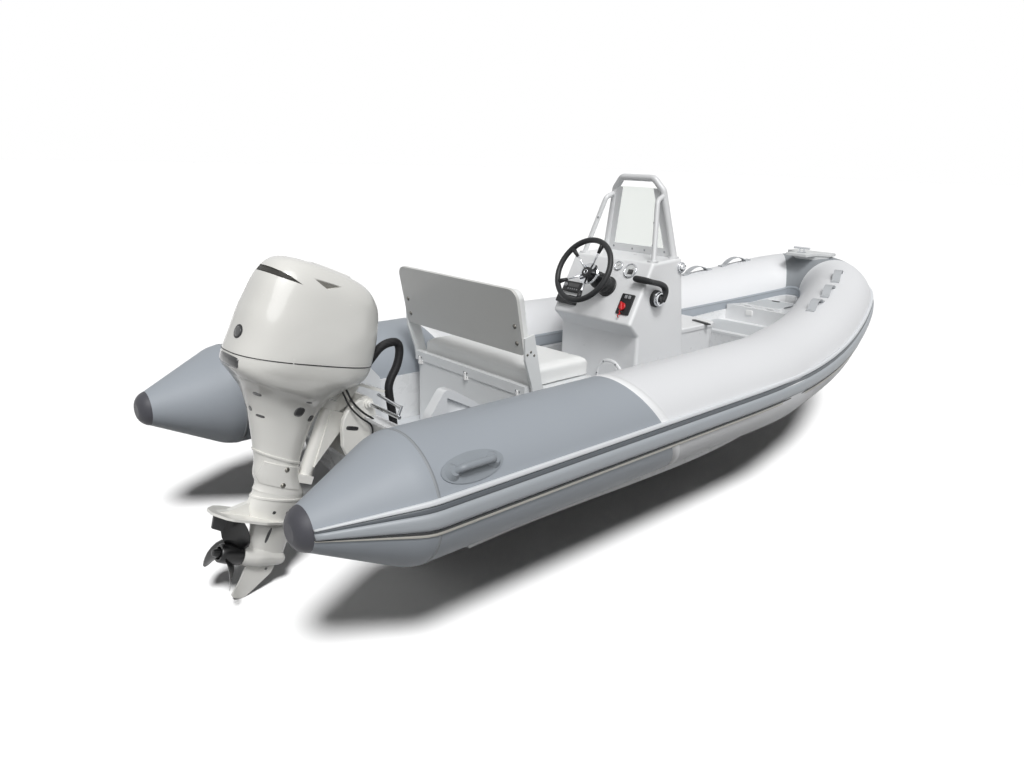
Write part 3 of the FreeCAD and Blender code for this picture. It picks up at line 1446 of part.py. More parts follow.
os.makedirs("parts", exist_ok=True)
for name, shape in shapes.items():
    shape.exportStep("parts/" + name + ".step")
    size = shape.BoundBox
    print(f"{name:22s} solids {len(shape.Solids)} valid {shape.isValid()} volume {shape.Volume / 1e6:9.3f} l  "
          f"x {size.XMin:7.0f} {size.XMax:7.0f}  y {size.YMin:6.0f} {size.YMax:6.0f}  "
          f"z {size.ZMin:6.0f} {size.ZMax:6.0f}")
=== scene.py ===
"""Rigid inflatable boat, dressed for a studio picture.

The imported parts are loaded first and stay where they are. Each section below makes one piece of
the boat, or one group of like pieces, in the order in which they are put together. Lengths are in
metres: x runs towards the bow, y to port and z up.
"""
import math

import bmesh
import bpy
from mathutils import Matrix, Vector


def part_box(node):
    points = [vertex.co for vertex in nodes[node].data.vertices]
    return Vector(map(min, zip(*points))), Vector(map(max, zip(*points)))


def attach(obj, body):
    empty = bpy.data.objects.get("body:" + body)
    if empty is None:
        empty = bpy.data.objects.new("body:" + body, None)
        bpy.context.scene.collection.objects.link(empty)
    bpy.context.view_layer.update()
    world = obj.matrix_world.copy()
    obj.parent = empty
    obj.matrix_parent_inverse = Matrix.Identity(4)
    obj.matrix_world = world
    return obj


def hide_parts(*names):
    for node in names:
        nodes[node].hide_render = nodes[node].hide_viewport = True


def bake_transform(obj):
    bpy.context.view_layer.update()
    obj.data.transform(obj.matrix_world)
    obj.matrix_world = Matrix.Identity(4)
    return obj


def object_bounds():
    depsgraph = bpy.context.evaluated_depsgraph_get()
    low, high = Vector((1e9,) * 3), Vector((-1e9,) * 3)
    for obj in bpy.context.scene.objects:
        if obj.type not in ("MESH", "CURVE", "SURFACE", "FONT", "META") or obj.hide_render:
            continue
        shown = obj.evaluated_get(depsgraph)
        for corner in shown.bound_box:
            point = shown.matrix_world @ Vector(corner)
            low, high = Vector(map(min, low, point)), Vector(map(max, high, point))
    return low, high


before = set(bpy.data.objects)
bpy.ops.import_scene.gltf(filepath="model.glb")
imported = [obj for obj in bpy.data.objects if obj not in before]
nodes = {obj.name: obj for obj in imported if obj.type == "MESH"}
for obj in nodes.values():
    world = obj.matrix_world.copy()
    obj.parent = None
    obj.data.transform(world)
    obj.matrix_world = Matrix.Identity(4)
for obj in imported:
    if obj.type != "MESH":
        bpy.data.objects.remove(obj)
cad_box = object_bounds()

# The picture's point of view: a camera beyond the starboard quarter, above the gunwale, looking
# forward and to port, with the long side of its sensor 36 mm wide.
camera_place = Vector((-1.671, -2.743, 1.403))
camera_heading = math.radians(47.521)
camera_dip = math.radians(16.811)
camera_roll = math.radians(1.512)
camera_lens = 26.56


def linked(name, data):
    """An object in the scene that holds some data: a mesh, a curve, a lamp or a camera."""
    made = bpy.data.objects.new(name, data)
    bpy.context.collection.objects.link(made)
    return made


forward = Vector((math.cos(camera_heading) * math.cos(camera_dip),
                  math.sin(camera_heading) * math.cos(camera_dip), -math.sin(camera_dip)))
level = forward.cross(Vector((0, 0, 1))).normalized()
upright = level.cross(forward)
right = math.cos(camera_roll) * level + math.sin(camera_roll) * upright
above = math.cos(camera_roll) * upright - math.sin(camera_roll) * level
camera = linked("camera", bpy.data.cameras.new("camera"))
camera_turn = Matrix((right, above, -forward)).transposed().to_4x4()
camera.matrix_world = Matrix.Translation(camera_place) @ camera_turn
camera.data.lens = camera_lens
camera.data.sensor_width = 36.0
bpy.context.scene.camera = camera
bpy.context.scene.view_settings.view_transform = "Standard"


# The studio floor: a plain white sheet just under the skeg, the lowest point of the boat. The
# camera sees it as clean white, and it keeps the boat's soft shadow. It and every other finish
# are drawn with the small classes that follow.
class Reading:
    """What one node of a tree gives. Sums on it add their own nodes to the tree."""

    def __init__(self, drawing, socket):
        self.drawing = drawing
        self.socket = socket

    def maths(self, operation, *values):
        return self.drawing.node("ShaderNodeMath", {"operation": operation}, dict(enumerate(values)))

    def __add__(self, other):
        return self.maths("ADD", self, other)

    def __mul__(self, other):
        return self.maths("MULTIPLY", self, other)

    def __truediv__(self, other):
        return self.maths("DIVIDE", self, other)

    def or_else(self, other):
        """The larger of two masks."""
        return self.maths("MAXIMUM", self, other)


class Drawing:
    """A node tree that grows node by node."""

    def __init__(self, tree):
        self.tree = tree

    def feed(self, socket, value):
        value = getattr(value, "socket", value)
        if isinstance(value, bpy.types.NodeSocket):
            self.tree.links.new(value, socket)
        else:
            socket.default_value = value

    def node(self, kind, settings, inputs, output=0):
        """One node: its settings are made first, and then its sockets take values or links."""
        made = self.tree.nodes.new(kind)
        for name, value in settings.items():
            setattr(made, name, value)
        for name, value in inputs.items():
            self.feed(made.inputs[name], value)
        return Reading(self, made.outputs[output])

    def ray(self, kind):
        """One where a ray of some kind asks, such as the camera's, and nought elsewhere."""
        return self.node("ShaderNodeLightPath", {}, {}, kind)

    def mixed(self, share, first, second):
        """One colour turning into another as the share goes from 0 to 1."""
        colours = {6: (*first, 1) if isinstance(first, list) else first,
                   7: (*second, 1) if isinstance(second, list) else second}
        return self.node("ShaderNodeMix", {"data_type": "RGBA"}, {0: share, **colours}, 2)


def screen_colour(red, green, blue):
    """The working colour of one that is given as it shows on a screen, from 0 to 255."""
    shares = [value / 255 for value in (red, green, blue)]
    return [share / 12.92 if share <= 0.04045 else ((share + 0.055) / 1.055) ** 2.4 for share in shares]


class Finish(Drawing):
    """One material, drawn round a Principled shader."""

    def __init__(self, name, colour, settings):
        self.material = bpy.data.materials.new(name)
        self.material.use_nodes = True
        super().__init__(self.material.node_tree)
        self.shader = self.tree.nodes["Principled BSDF"]
        self.colour = screen_colour(*colour)
        self.feed(self.shader.inputs["Base Color"], (*self.colour, 1))
        for socket, value in settings.items():
            self.feed(self.shader.inputs[socket], value)

    def place(self):
        return self.node("ShaderNodeTexCoord", {}, {}, "Object")

    def noise(self, size, detail=2.0, stretch=(1, 1, 1)):
        """Cloudy pattern, from 0 to 1, whose patches are about one size across."""
        where = self.node("ShaderNodeMapping", {}, {"Vector": self.place(), "Scale": stretch})
        return self.node("ShaderNodeTexNoise", {}, {"Vector": where, "Scale": 1 / size, "Detail": detail})

    def cells(self, size):
        """Round cells, one size apart."""
        return self.node("ShaderNodeTexVoronoi", {}, {"Vector": self.place(), "Scale": 1 / size})

    def waves(self, size, axis):
        """Even ridges across one axis, one size apart."""
        return self.node("ShaderNodeTexWave", {"bands_direction": axis},
                         {"Vector": self.place(), "Scale": 0.3141 / size})

    def tinted(self, share, by):
        """The finish's own colour, made lighter or darker by a small amount over the surface."""
        low = [value * (1 - by) for value in self.colour]
        high = [min(1.0, value * (1 + by)) for value in self.colour]
        self.feed(self.shader.inputs["Base Color"], self.mixed(share, low, high))

    def rough(self, low, high, share):
        self.feed(self.shader.inputs["Roughness"], share * (high - low) + low)

    def raised(self, height, depth):
        """Bumps of one depth, in metres, where the height goes from 0 to 1."""
        bump = self.node("ShaderNodeBump", {}, {"Height": height, "Distance": depth, "Strength": 1.0})
        self.feed(self.shader.inputs["Normal"], bump)


def clouded(name, colour, settings, cloud, gloss, bumps=None):
    """A finish that changes slowly over its surface, in patches of a size and a fineness.

    The cloud is size, fineness and how much the colour changes. The gloss is the lowest and the
    highest roughness, size and fineness. The bumps are size, fineness and depth.
    """
    finish = Finish(name, colour, settings)
    finish.tinted(finish.noise(*cloud[:2]), cloud[2])
    finish.rough(*gloss[:2], finish.noise(*gloss[2:]))
    if bumps:
        finish.raised(finish.noise(*bumps[:2]), bumps[2])
    return finish


def slab(name, corners, bottom, top):
    """A flat piece with straight edges: its outline in plan between two heights."""
    count = len(corners)
    points = [(x, y, bottom) for x, y in corners] + [(x, y, top) for x, y in corners]
    faces = [list(range(count))[::-1], list(range(count, 2 * count))]
    faces += [(i, (i + 1) % count, (i + 1) % count + count, i + count) for i in range(count)]
    mesh = bpy.data.meshes.new(name)
    mesh.from_pydata(points, [], faces)
    return linked(name, mesh)


floor_gap = 0.001
floor_half = 90.0
floor_top = cad_box[0].z - floor_gap
floor_depth = 0.05
floor_seen = [0.86] * 3
floor_mirrored = [0.9] * 3
floor_lit = [0.018] * 3
sheet_corners = [(-floor_half, -floor_half), (floor_half, -floor_half), (floor_half, floor_half),
                 (-floor_half, floor_half)]
studio_floor = slab("studio_floor", sheet_corners, floor_top - floor_depth, floor_top)
paper = Finish("floor_paper", (255, 255, 255), {"Roughness": 1.0, "Specular IOR Level": 0.0})
clear_rays = paper.ray("Is Camera Ray").or_else(paper.ray("Is Transmission Ray"))
mirrored_floor = paper.mixed(paper.ray("Is Glossy Ray"), floor_lit, floor_mirrored)
paper.feed(paper.shader.inputs["Base Color"], paper.mixed(clear_rays, mirrored_floor, floor_seen))
studio_floor.data.materials.append(paper.material)

# The studio light: an even white room, a broad lamp over the boat that makes the shadow under it, a
# second one at the same place for the paper alone, and a side lamp for the boat alone.
# Bright metal mirrors the room, which grows darker towards the floor.
room_strength = 0.12
lamps = (
    ("overhead_lamp", 1.28, 13.0, (0.38, 0.60, -1.0)),
    ("paper_lamp", 3.20, 13.0, (0.38, 0.60, -1.0)),
    ("side_lamp", 1.65, 50.0, (0.36, 0.62, -0.70)),
)
room_shades = ((0.0, 0.10), (0.46, 0.26), (0.53, 0.80), (1.0, 1.0))

world = bpy.data.worlds.new("studio")
world.use_nodes = True
bpy.context.scene.world = world
room = Drawing(world.node_tree)
way_seen = room.node("ShaderNodeTexCoord", {}, {}, "Generated")
height_seen = room.node("ShaderNodeSeparateXYZ", {}, {0: way_seen}, "Z")
room_level = room.node("ShaderNodeMapRange", {}, {"Value": height_seen, "From Min": -1.0})
room_shade = room.node("ShaderNodeValToRGB", {}, {"Fac": room_level})
marks = room_shade.socket.node.color_ramp.elements
for height, share in room_shades[1:-1]:
    marks.new(height)
for mark, (height, share) in zip(marks, room_shades):
    mark.position = height
    mark.color = (share, share, share, 1)
clear_rays = room.ray("Is Camera Ray").or_else(room.ray("Is Transmission Ray"))
room_colour = room.mixed(clear_rays, room_shade, [1.0] * 3)
room_seen = room.node("ShaderNodeBackground", {}, {"Color": room_colour, "Strength": 1.0})
room_light = room.node("ShaderNodeBackground", {}, {"Color": (1, 1, 1, 1), "Strength": room_strength})
shown_rays = clear_rays.or_else(room.ray("Is Glossy Ray"))
room_choice = room.node("ShaderNodeMixShader", {}, {0: shown_rays, 1: room_light, 2: room_seen})
room.feed(world.node_tree.nodes["World Output"].inputs["Surface"], room_choice)

for lamp_name, strength, spread, tilt in lamps:
    lamp = linked(lamp_name, bpy.data.lights.new(lamp_name, "SUN"))
    lamp.data.energy = strength
    lamp.data.angle = math.radians(spread)
    lamp.rotation_mode = "QUATERNION"
    lamp.rotation_quaternion = Vector(tilt).to_track_quat("-Z", "Y")
for lamp_name, share in (("side_lamp", "EXCLUDE"), ("paper_lamp", "INCLUDE")):
    receivers = bpy.data.collections.new(lamp_name + "_receivers")
    receivers.objects.link(studio_floor)
    receivers.collection_objects[0].light_linking.link_state = share
    bpy.data.objects[lamp_name].light_linking.receiver_collection = receivers


# Hull and cockpit liner: laid-up glass fibre with a white gelcoat, glossy and faintly uneven,
# bonded to the tubes along its shoulders.
def gelcoat(name, colour, roughness=0.22):
    """Sprayed gelcoat: a hard gloss with a slow waviness and fine dust-like mottling."""
    settings = {"Specular IOR Level": 0.5, "Coat Weight": 0.25, "Coat Roughness": 0.12}
    return clouded(name, colour, settings, (0.35, 3.0, 0.025), (roughness, roughness + 0.12, 0.05, 4.0),
                   (0.09, 2.0, 0.00005))


def wear(node, finish):
    """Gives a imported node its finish."""
    mesh = nodes[node].data
    mesh.materials.clear()
    mesh.materials.append(finish.material)


hull_gelcoat = gelcoat("hull_gelcoat", (226, 227, 228))
wear("hull", hull_gelcoat)

# Sole panel: the same gelcoat, moulded with a fine non-skid pattern of raised points.
skid_size = 0.0042


def nonskid(name, colour):
    """Moulded non-skid: rows of blunt points, duller than the gelcoat round them."""
    finish = clouded(name, colour, {"Specular IOR Level": 0.4}, (0.25, 3.0, 0.04), (0.5, 0.68, 0.03, 3.0))
    finish.raised(finish.waves(skid_size, "X") * finish.waves(skid_size, "Y"), 0.0006)
    return finish


sole_nonskid = nonskid("sole_nonskid", (206, 209, 212))
wear("deck", sole_nonskid)

# Transom: a thick board glassed over in the hull's gelcoat, with a moulded cap along its top.
transom_gelcoat = gelcoat("transom_gelcoat", (222, 223, 224), 0.28)
wear("transom", transom_gelcoat)
wear("transom_cap", hull_gelcoat)

# Transom knees: the moulded pockets that brace the transom against the liner on each side, in the
# same gelcoat, a shade greyer where they stay out of the light.
wear("transom_knees", gelcoat("knee_gelcoat", (220, 222, 224), 0.26))


# Buoyancy tubes: coated fabric in bluish grey at the ends and white between them, inflated hard.
# The coating is satin, with the faintest print of the cloth under it.
thread_gap = 0.0011


def coated_fabric(name, colour, dark=0.03):
    """Rubber-coated cloth: even colour, slow clouding and a barely printed weave."""
    finish = clouded(name, colour, {"Specular IOR Level": 0.35}, (0.4, 4.0, dark), (0.44, 0.56, 0.06, 4.0))
    weave = finish.waves(thread_gap, "X") * finish.waves(thread_gap, "Z")
    finish.raised(weave * 0.06 + finish.noise(0.16, 2.0), 0.0006)
    return finish


grey_fabric = coated_fabric("grey_fabric", (162, 168, 175))
white_fabric = coated_fabric("white_fabric", (232, 233, 235), 0.015)
patch_fabric = coated_fabric("patch_fabric", (150, 154, 158))
for side in ("port", "starboard"):
    wear("tube_aft_" + side, grey_fabric)
    wear("tube_mid_" + side, white_fabric)
wear("tube_bow", patch_fabric)

tube_radius = 0.240
tube_half = 0.740
tube_height = 0.270
cone_root_x = -0.340
cone_tip_x = -0.710
cone_tip_radius = 0.078
bow_start_x = 1.460
bow_tip_x = 3.900
bow_line_x = (bow_start_x, 3.070, 3.333, bow_tip_x, bow_tip_x)
bow_line_y = (tube_half, tube_half, 0.292, 0.451, 0.0)
sheer_start_x = 1.950
sheer_rise = 0.237
sheer_power = 1.86
cone_blend = 0.22
cone_shoulder = 0.55


def bow_weights(share):
    """How much each of the bow curve's five points pulls at one share of the way round."""
    rest = 1 - share
    return (rest ** 4, 4 * share * rest ** 3, 6 * share ** 2 * rest ** 2, 4 * share ** 3 * rest, share ** 4)


def bow_place(share):
    """A point of the port tube's centre line ahead of its straight run."""
    weights = bow_weights(share)
    x = sum(weight * value for weight, value in zip(weights, bow_line_x))
    y = sum(weight * value for weight, value in zip(weights, bow_line_y))
    rise = max(0.0, (x - sheer_start_x) / (bow_tip_x - sheer_start_x))
    return Vector((x, y, tube_height + sheer_rise * rise ** sheer_power))


class Station:
    """One place along a tube: its centre, its radius and the way out from the boat there."""

    def __init__(self, centre, heading, radius):
        self.centre = centre
        self.radius = radius
        self.outward = Vector((-heading.y, heading.x, 0)).normalized()

    def point(self, angle, lift=0.0):
        """A point over the tube's skin, at an angle up from its outer side."""
        turn = math.radians(angle)
        reach = self.radius + lift
        upward = Vector((0, 0, reach * math.sin(turn)))
        return self.centre + self.outward * (reach * math.cos(turn)) + upward

    def opposite(self):
        other = Station(self.centre.copy(), Vector((1, 0, 0)), self.radius)
        other.centre.y = -self.centre.y
        other.outward = Vector((self.outward.x, -self.outward.y, 0))
        return other


def cone_radius(x):
    """Radius of the tapered end at a place along it, rounded where it meets the straight run."""
    blend = (cone_root_x - cone_tip_x) * cone_blend
    taper = (tube_radius - cone_tip_radius) / (cone_root_x - cone_tip_x)
    shoulder_radius = tube_radius - taper * blend * cone_shoulder
    shoulder_x = cone_root_x - blend
    if x >= cone_root_x:
        return tube_radius
    if x > shoulder_x:
        share = (cone_root_x - x) / blend
        return tube_radius - (tube_radius - shoulder_radius) * share ** 2
    share = (x - cone_tip_x) / (shoulder_x - cone_tip_x)
    return cone_tip_radius + share * (shoulder_radius - cone_tip_radius)


def straight_station(x):
    return Station(Vector((x, tube_half, tube_height)), Vector((1, 0, 0)), cone_radius(x))


def bow_station(share):
    step = 0.001
    heading = bow_place(min(share + step, 1.0)) - bow_place(max(share - step, 0.0))
    if share > 0.999:
        heading = Vector((0, -1, 0))
    return Station(bow_place(share), heading, tube_radius)


def stations_from(start_x, cone_steps=14, straight_steps=12, bow_steps=70):
    """Stations along both tubes, from a place on the port one, round the bow and back."""
    xs = []
    if start_x < cone_root_x:
        xs += [start_x + (cone_root_x - start_x) * step / cone_steps for step in range(cone_steps)]
        start_x = cone_root_x
    xs += [start_x + (bow_start_x - start_x) * step / straight_steps for step in range(straight_steps)]
    port = [straight_station(x) for x in xs]
    port += [bow_station(step / bow_steps) for step in range(bow_steps + 1)]
    return port + [station.opposite() for station in reversed(port[:-1])]


def lofted(name, rings, closed_ring=True, capped=True, smooth=True):
    """A skin over rings of points that all have the same number of points."""
    count = len(rings[0])
    points = [point for ring in rings for point in ring]
    faces = []
    reach = count if closed_ring else count - 1
    for row in range(len(rings) - 1):
        for column in range(reach):
            nearby = (column + 1) % count
            faces.append((row * count + column, row * count + nearby, (row + 1) * count + nearby,
                          (row + 1) * count + column))
    if capped:
        faces.append(list(range(count))[::-1])
        faces.append(list(range((len(rings) - 1) * count, len(rings) * count)))
    mesh = bpy.data.meshes.new(name)
    mesh.from_pydata(points, [], faces)
    made = linked(name, mesh)
    outwards(made)
    if smooth:
        mesh.shade_smooth()
    return made


def outwards(made):
    """Merges doubled points and turns every face of a closed mesh outwards."""
    shape = bmesh.new()
    shape.from_mesh(made.data)
    bmesh.ops.remove_doubles(shape, verts=shape.verts, dist=1e-6)
    bmesh.ops.recalc_face_normals(shape, faces=shape.faces)
    shape.to_mesh(made.data)
    shape.free()


# Bonding tape: the grey strip that joins the tube's inner side to the liner, with the double
# line that its rolled edge leaves. It swings down a little where the tube rises to the bow.
tape_start_x = 1.0
tape_low = 160.0
tape_high = 178.0
tape_swing = 16.0
tape_line = (163.2, 164.4)
tape_bevel = 0.0006
tape_sink = 0.0008
bond_line = stations_from(tape_start_x)


def fitted(made, finish, body, stands_for=()):
    """Gives a new piece its finish and its body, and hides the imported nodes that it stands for."""
    made.data.materials.clear()
    made.data.materials.append(finish.material)
    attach(made, body)
    if stands_for:
        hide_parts(*stands_for)
    return made


def band(name, stations, low, high, lift, finish, steps=6):
    """A flat tape bonded along a tube between two angles, with thin bevelled edges."""
    rings = []
    for station in stations:
        slope = math.degrees(tape_bevel / station.radius)
        swing = tape_swing * max(0.0, (station.centre.z - tube_height) / sheer_rise)
        first = low + swing + slope
        outer = [station.point(first + (high - low - 2 * slope) * step / steps, lift)
                 for step in range(steps + 1)]
        start, end = (station.point(angle + swing, -tape_sink) for angle in (low, high))
        rings.append([start] + outer + [end])
    fitted(lofted(name, rings), finish, "boat")


band("bonding_tape", bond_line, tape_low, tape_high, 0.0016, grey_fabric)
band("bonding_tape_edge", bond_line, *tape_line, 0.0030, patch_fabric, 2)

# Seams: the lap of each joint in the fabric, a narrow strip round the tube that stands proud by
# the thickness of the cloth.
lap_lift = 0.0014


def lap(name, places, finish, low=-175.0, high=176.0):
    """A strip round a tube between two cross-wise lines, each given as a place for every angle."""
    steps = 60
    rings = []
    for lift, edge in ((-tape_sink, 0.0), (lap_lift, 0.04), (lap_lift, 0.96), (-tape_sink, 1.0)):
        ring = []
        for step in range(steps + 1):
            angle = low + (high - low) * step / steps
            first, second = places(angle)
            station = straight_station(first + (second - first) * edge)
            ring.append(station.point(angle, lift))
        rings.append(ring)
    made = lofted(name, rings, closed_ring=False, capped=False)
    made.data.materials.append(finish.material)
    return made


colour_split_x = 0.860
colour_split_slope = math.tan(math.radians(32.0))
split_lap_width = 0.052
cone_lap_width = 0.012


def split_lap(angle):
    edge = colour_split_x - colour_split_slope * tube_radius * math.sin(math.radians(angle))
    return edge, edge + split_lap_width


def cone_lap(angle):
    return cone_root_x - cone_lap_width, cone_root_x


overlap_fabric = coated_fabric("overlap_fabric", (244, 245, 246), 0.01)


def mirrored(made, name):
    """A copy on the other side of the boat, with its faces turned outwards again."""
    copy = linked(name, made.data.copy())
    copy.data.transform(Matrix.Diagonal((1, -1, 1, 1)))
    copy.data.flip_normals()
    return copy


for lap_name, places, finish in (("split_lap", split_lap, overlap_fabric),
                                 ("cone_lap", cone_lap, patch_fabric)):
    port_lap = lap(lap_name + "_port", places, finish)
    starboard_lap = mirrored(port_lap, lap_name + "_starboard")
    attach(port_lap, "boat")
    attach(starboard_lap, "boat")

# Cone caps: moulded rubber thimbles, nearly black, over the ends of the tubes.
cap_rubber = clouded("cap_rubber", (72, 72, 78), {"Specular IOR Level": 0.4},
                     (0.05, 3.0, 0.08), (0.42, 0.6, 0.02, 3.0), (0.003, 2.0, 0.0002))
wear("cone_cap_port", cap_rubber)
wear("cone_cap_starboard", cap_rubber)

# Rub strake: one rubber extrusion round the whole boat. From the top it has a white bead, a
# darker hollow and a broad pale face, and a black line and a cream one follow it below.
strake_parts = (
    ("strake_bead", 14.4, 19.4, 0.013, (224, 227, 230)),
    ("strake_hollow", 9.4, 14.8, 0.0085, (96, 101, 106)),
    ("strake_face", -5.2, 9.8, 0.014, (170, 175, 180)),
    ("strake_line", -7.8, -5.0, 0.0075, (38, 40, 42)),
    ("strake_cream", -11.2, -7.4, 0.0055, (206, 204, 196)),
)
strake_sink = 0.001
strake_shoulder = 0.35


def strake_rubber(name, colour):
    """Extruded rubber: satin, with the faint drawn lines of the die along it."""
    finish = clouded(name, colour, {"Specular IOR Level": 0.4}, (0.12, 3.0, 0.03), (0.36, 0.5, 0.03, 3.0))
    finish.raised(finish.noise(0.004, 2.0, (0.05, 0.05, 1)), 0.0003)
    return finish


def crowned(name, stations, low, high, depth, finish, steps=8):
    """A strip of the strake whose face bulges between two angles."""
    rings = []
    for station in stations:
        ring = [station.point(low, -strake_sink)]
        for step in range(steps + 1):
            share = step / steps
            bulge = (1 - (2 * share - 1) ** 4) ** 0.5 if 0 < share < 1 else strake_shoulder
            ring.append(station.point(low + (high - low) * share, depth * bulge))
        ring.append(station.point(high, -strake_sink))
        rings.append(ring)
    made = fitted(lofted(name, rings), finish, "boat")
    return made


whole_line = stations_from(cone_tip_x)
for part_name, low, high, depth, colour in strake_parts:
    strip = crowned(part_name, whole_line, low, high, depth, strake_rubber(part_name + "_rubber", colour))
    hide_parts("rub_strake")

# Carry handles: moulded rubber grips on oval pads, bonded to the aft tubes where a person lifts
# the boat. The rubber is smoother than the cloth under it.
handle_rubber = clouded("handle_rubber", (146, 152, 158), {"Specular IOR Level": 0.45},
                        (0.06, 3.0, 0.05), (0.34, 0.48, 0.02, 3.0), (0.0015, 2.0, 0.00006))
for side in ("port", "starboard"):
    wear("carry_handle_" + side, handle_rubber)

# Webbing handles: flat woven straps stitched to pads on the bow quarters, arched so that a hand
# fits under them.
webbing = clouded("webbing", (192, 195, 198), {"Specular IOR Level": 0.25, "Sheen Weight": 0.15},
                  (0.004, 2.0, 0.10), (0.7, 0.85, 0.01, 2.0))
webbing.raised(webbing.waves(0.0022, "X") * webbing.waves(0.0016, "Z"), 0.0004)
for side in ("port", "starboard"):
    wear("tape_handles_" + side, webbing)

# Bow platform and locker: one gelcoat moulding. Its platform and lid carry raised panels of
# non-skid inside a smooth white border.
locker_gelcoat = gelcoat("locker_gelcoat", (230, 231, 232), 0.24)
wear("bow_locker", locker_gelcoat)
wear("bow_locker_lid", locker_gelcoat)
panel_nonskid = nonskid("panel_nonskid", (196, 199, 201))
panel_lift = 0.0016


class Mount:
    """A flat place on the boat that small parts are set on, with its up and outward ways."""

    def __init__(self, origin, up, out):
        self.origin = Vector(origin)
        self.out = Vector(out).normalized()
        self.up = (Vector(up) - self.out * self.out.dot(Vector(up))).normalized()
        self.across = self.up.cross(self.out)

    def at(self, across, up, out=0.0):
        return self.origin + self.across * across + self.up * up + self.out * out

    def moved(self, across, up, out=0.0):
        return Mount(self.at(across, up, out), self.up, self.out)

    def tipped(self, degrees):
        """The same place with its up way turned round the outward one."""
        turn = Matrix.Rotation(math.radians(degrees), 3, self.out)
        return Mount(self.origin, turn @ self.up, self.out)

    def matrix(self):
        turned_to = Matrix((self.across, self.up, self.out)).transposed().to_4x4()
        turned_to.translation = self.origin
        return turned_to

    def circled(self, radius, turn, out=0.0):
        """A place on a circle round the mount, at a turn in radians."""
        return self.at(radius * math.cos(turn), radius * math.sin(turn), out)


def rounded_outline(half_width, half_height, corner, steps=6):
    """Points round a rectangle with round corners."""
    points = []
    for quarter, (x, y) in enumerate(((1, 1), (-1, 1), (-1, -1), (1, -1))):
        for step in range(steps + 1):
            turn = math.radians(90 * (quarter + step / steps))
            points.append((x * (half_width - corner) + corner * math.cos(turn),
                           y * (half_height - corner) + corner * math.sin(turn)))
    return points


def moulded(name, mount, outline, low, high, edge):
    """A pressed or moulded plate: an outline between two heights, with its top edge rounded."""
    centre_x = sum(x for x, y in outline) / len(outline)
    centre_y = sum(y for x, y in outline) / len(outline)
    reach = max(max(abs(x - centre_x) for x, y in outline), 1e-6)
    tall = max(max(abs(y - centre_y) for x, y in outline), 1e-6)
    rings = [[mount.at(x, y, low) for x, y in outline]]
    for step in range(5):
        turn = math.radians(90 * step / 4)
        inset = edge * (1 - math.cos(turn))
        rise = high - edge + edge * math.sin(turn)
        rings.append([mount.at(centre_x + (x - centre_x) * (1 - inset / reach),
                               centre_y + (y - centre_y) * (1 - inset / tall), rise) for x, y in outline])
    made = lofted(name, rings, smooth=False)
    made.data.set_sharp_from_angle(angle=math.radians(35))
    return made


def plate(name, mount, size, heights, edge, finish, body, stands_for=()):
    """A rounded plate: half its width, half its height and its corner, between two heights."""
    return fitted(moulded(name, mount, rounded_outline(*size), *heights, edge), finish, body, stands_for)


def add_nonskid_panel(name, centre, half_length, half_width, top, body):
    flat = Mount((centre, 0, top), (1, 0, 0), (0, 0, 1))
    panel = moulded(name, flat, rounded_outline(half_width, half_length, 0.03), -0.001, panel_lift, 0.0008)
    fitted(panel, panel_nonskid, body)


add_nonskid_panel("platform_panel", 2.955, 0.150, 0.265, 0.300, "boat")
add_nonskid_panel("locker_lid_panel", 3.373, 0.135, 0.128, 0.420, "bow_lid")

# Locker latch and lid fitting: small moulded catches, one white on the riser and one dark on top.
black_plastic = clouded("black_plastic", (26, 27, 29), {"Specular IOR Level": 0.45},
                        (0.02, 3.0, 0.12), (0.32, 0.46, 0.008, 3.0), (0.0009, 2.0, 0.00003))
latch_plastic = gelcoat("latch_plastic", (238, 238, 237), 0.3)
riser_x = 3.165
locker_riser = Mount((riser_x, 0.05, 0.372), (0, 0, 1), (-1, 0, 0))
plate("locker_latch", locker_riser, (0.026, 0.018, 0.006), (-0.004, 0.007), 0.003, latch_plastic, "boat")
lid_top = Mount((3.485, 0.03, 0.420), (1, 0, 0), (0, 0, 1))
plate("locker_vent", lid_top, (0.032, 0.011, 0.0105), (0.001, 0.006), 0.002, black_plastic, "bow_lid")

# Bow step and cleat: a pale moulded tread over the bow with a polished steel cleat at its waist.
step_gelcoat = gelcoat("step_gelcoat", (216, 218, 218), 0.34)
step_top = 0.769
step_outline = ((3.640, -0.078), (3.646, -0.084), (3.780, -0.084), (3.822, -0.158), (3.836, -0.172),
                (3.905, -0.172), (3.921, -0.160), (3.925, -0.060), (3.925, 0.060), (3.921, 0.160),
                (3.905, 0.172), (3.836, 0.172), (3.822, 0.158), (3.780, 0.084), (3.646, 0.084),
                (3.640, 0.078))
polished_steel = clouded("polished_steel", (206, 208, 211), {"Metallic": 1.0},
                         (0.03, 2.0, 0.03), (0.07, 0.16, 0.01, 3.0))
wear("bow_cleat", polished_steel)
step_flat = Mount((0, 0, step_top), (1, 0, 0), (0, 0, 1))
step_shape = [(-y, x) for x, y in step_outline]
fitted(moulded("step_tread", step_flat, step_shape, -0.020, 0.0, 0.005), step_gelcoat, "boat", ["bow_step"])
step_foot = [(-y * 0.9, 3.80 + (x - 3.80) * 0.92) for x, y in step_outline if x > 3.75]
fitted(moulded("step_foot", step_flat, step_foot, -0.060, -0.018, 0.002), step_gelcoat, "boat")

# Console: one tall gelcoat moulding with a sloping dash and a lip over the knee space. A round
# inspection plate closes the hole low in its aft face.
console_gelcoat = gelcoat("console_gelcoat", (238, 239, 240), 0.24)
wear("console", console_gelcoat)


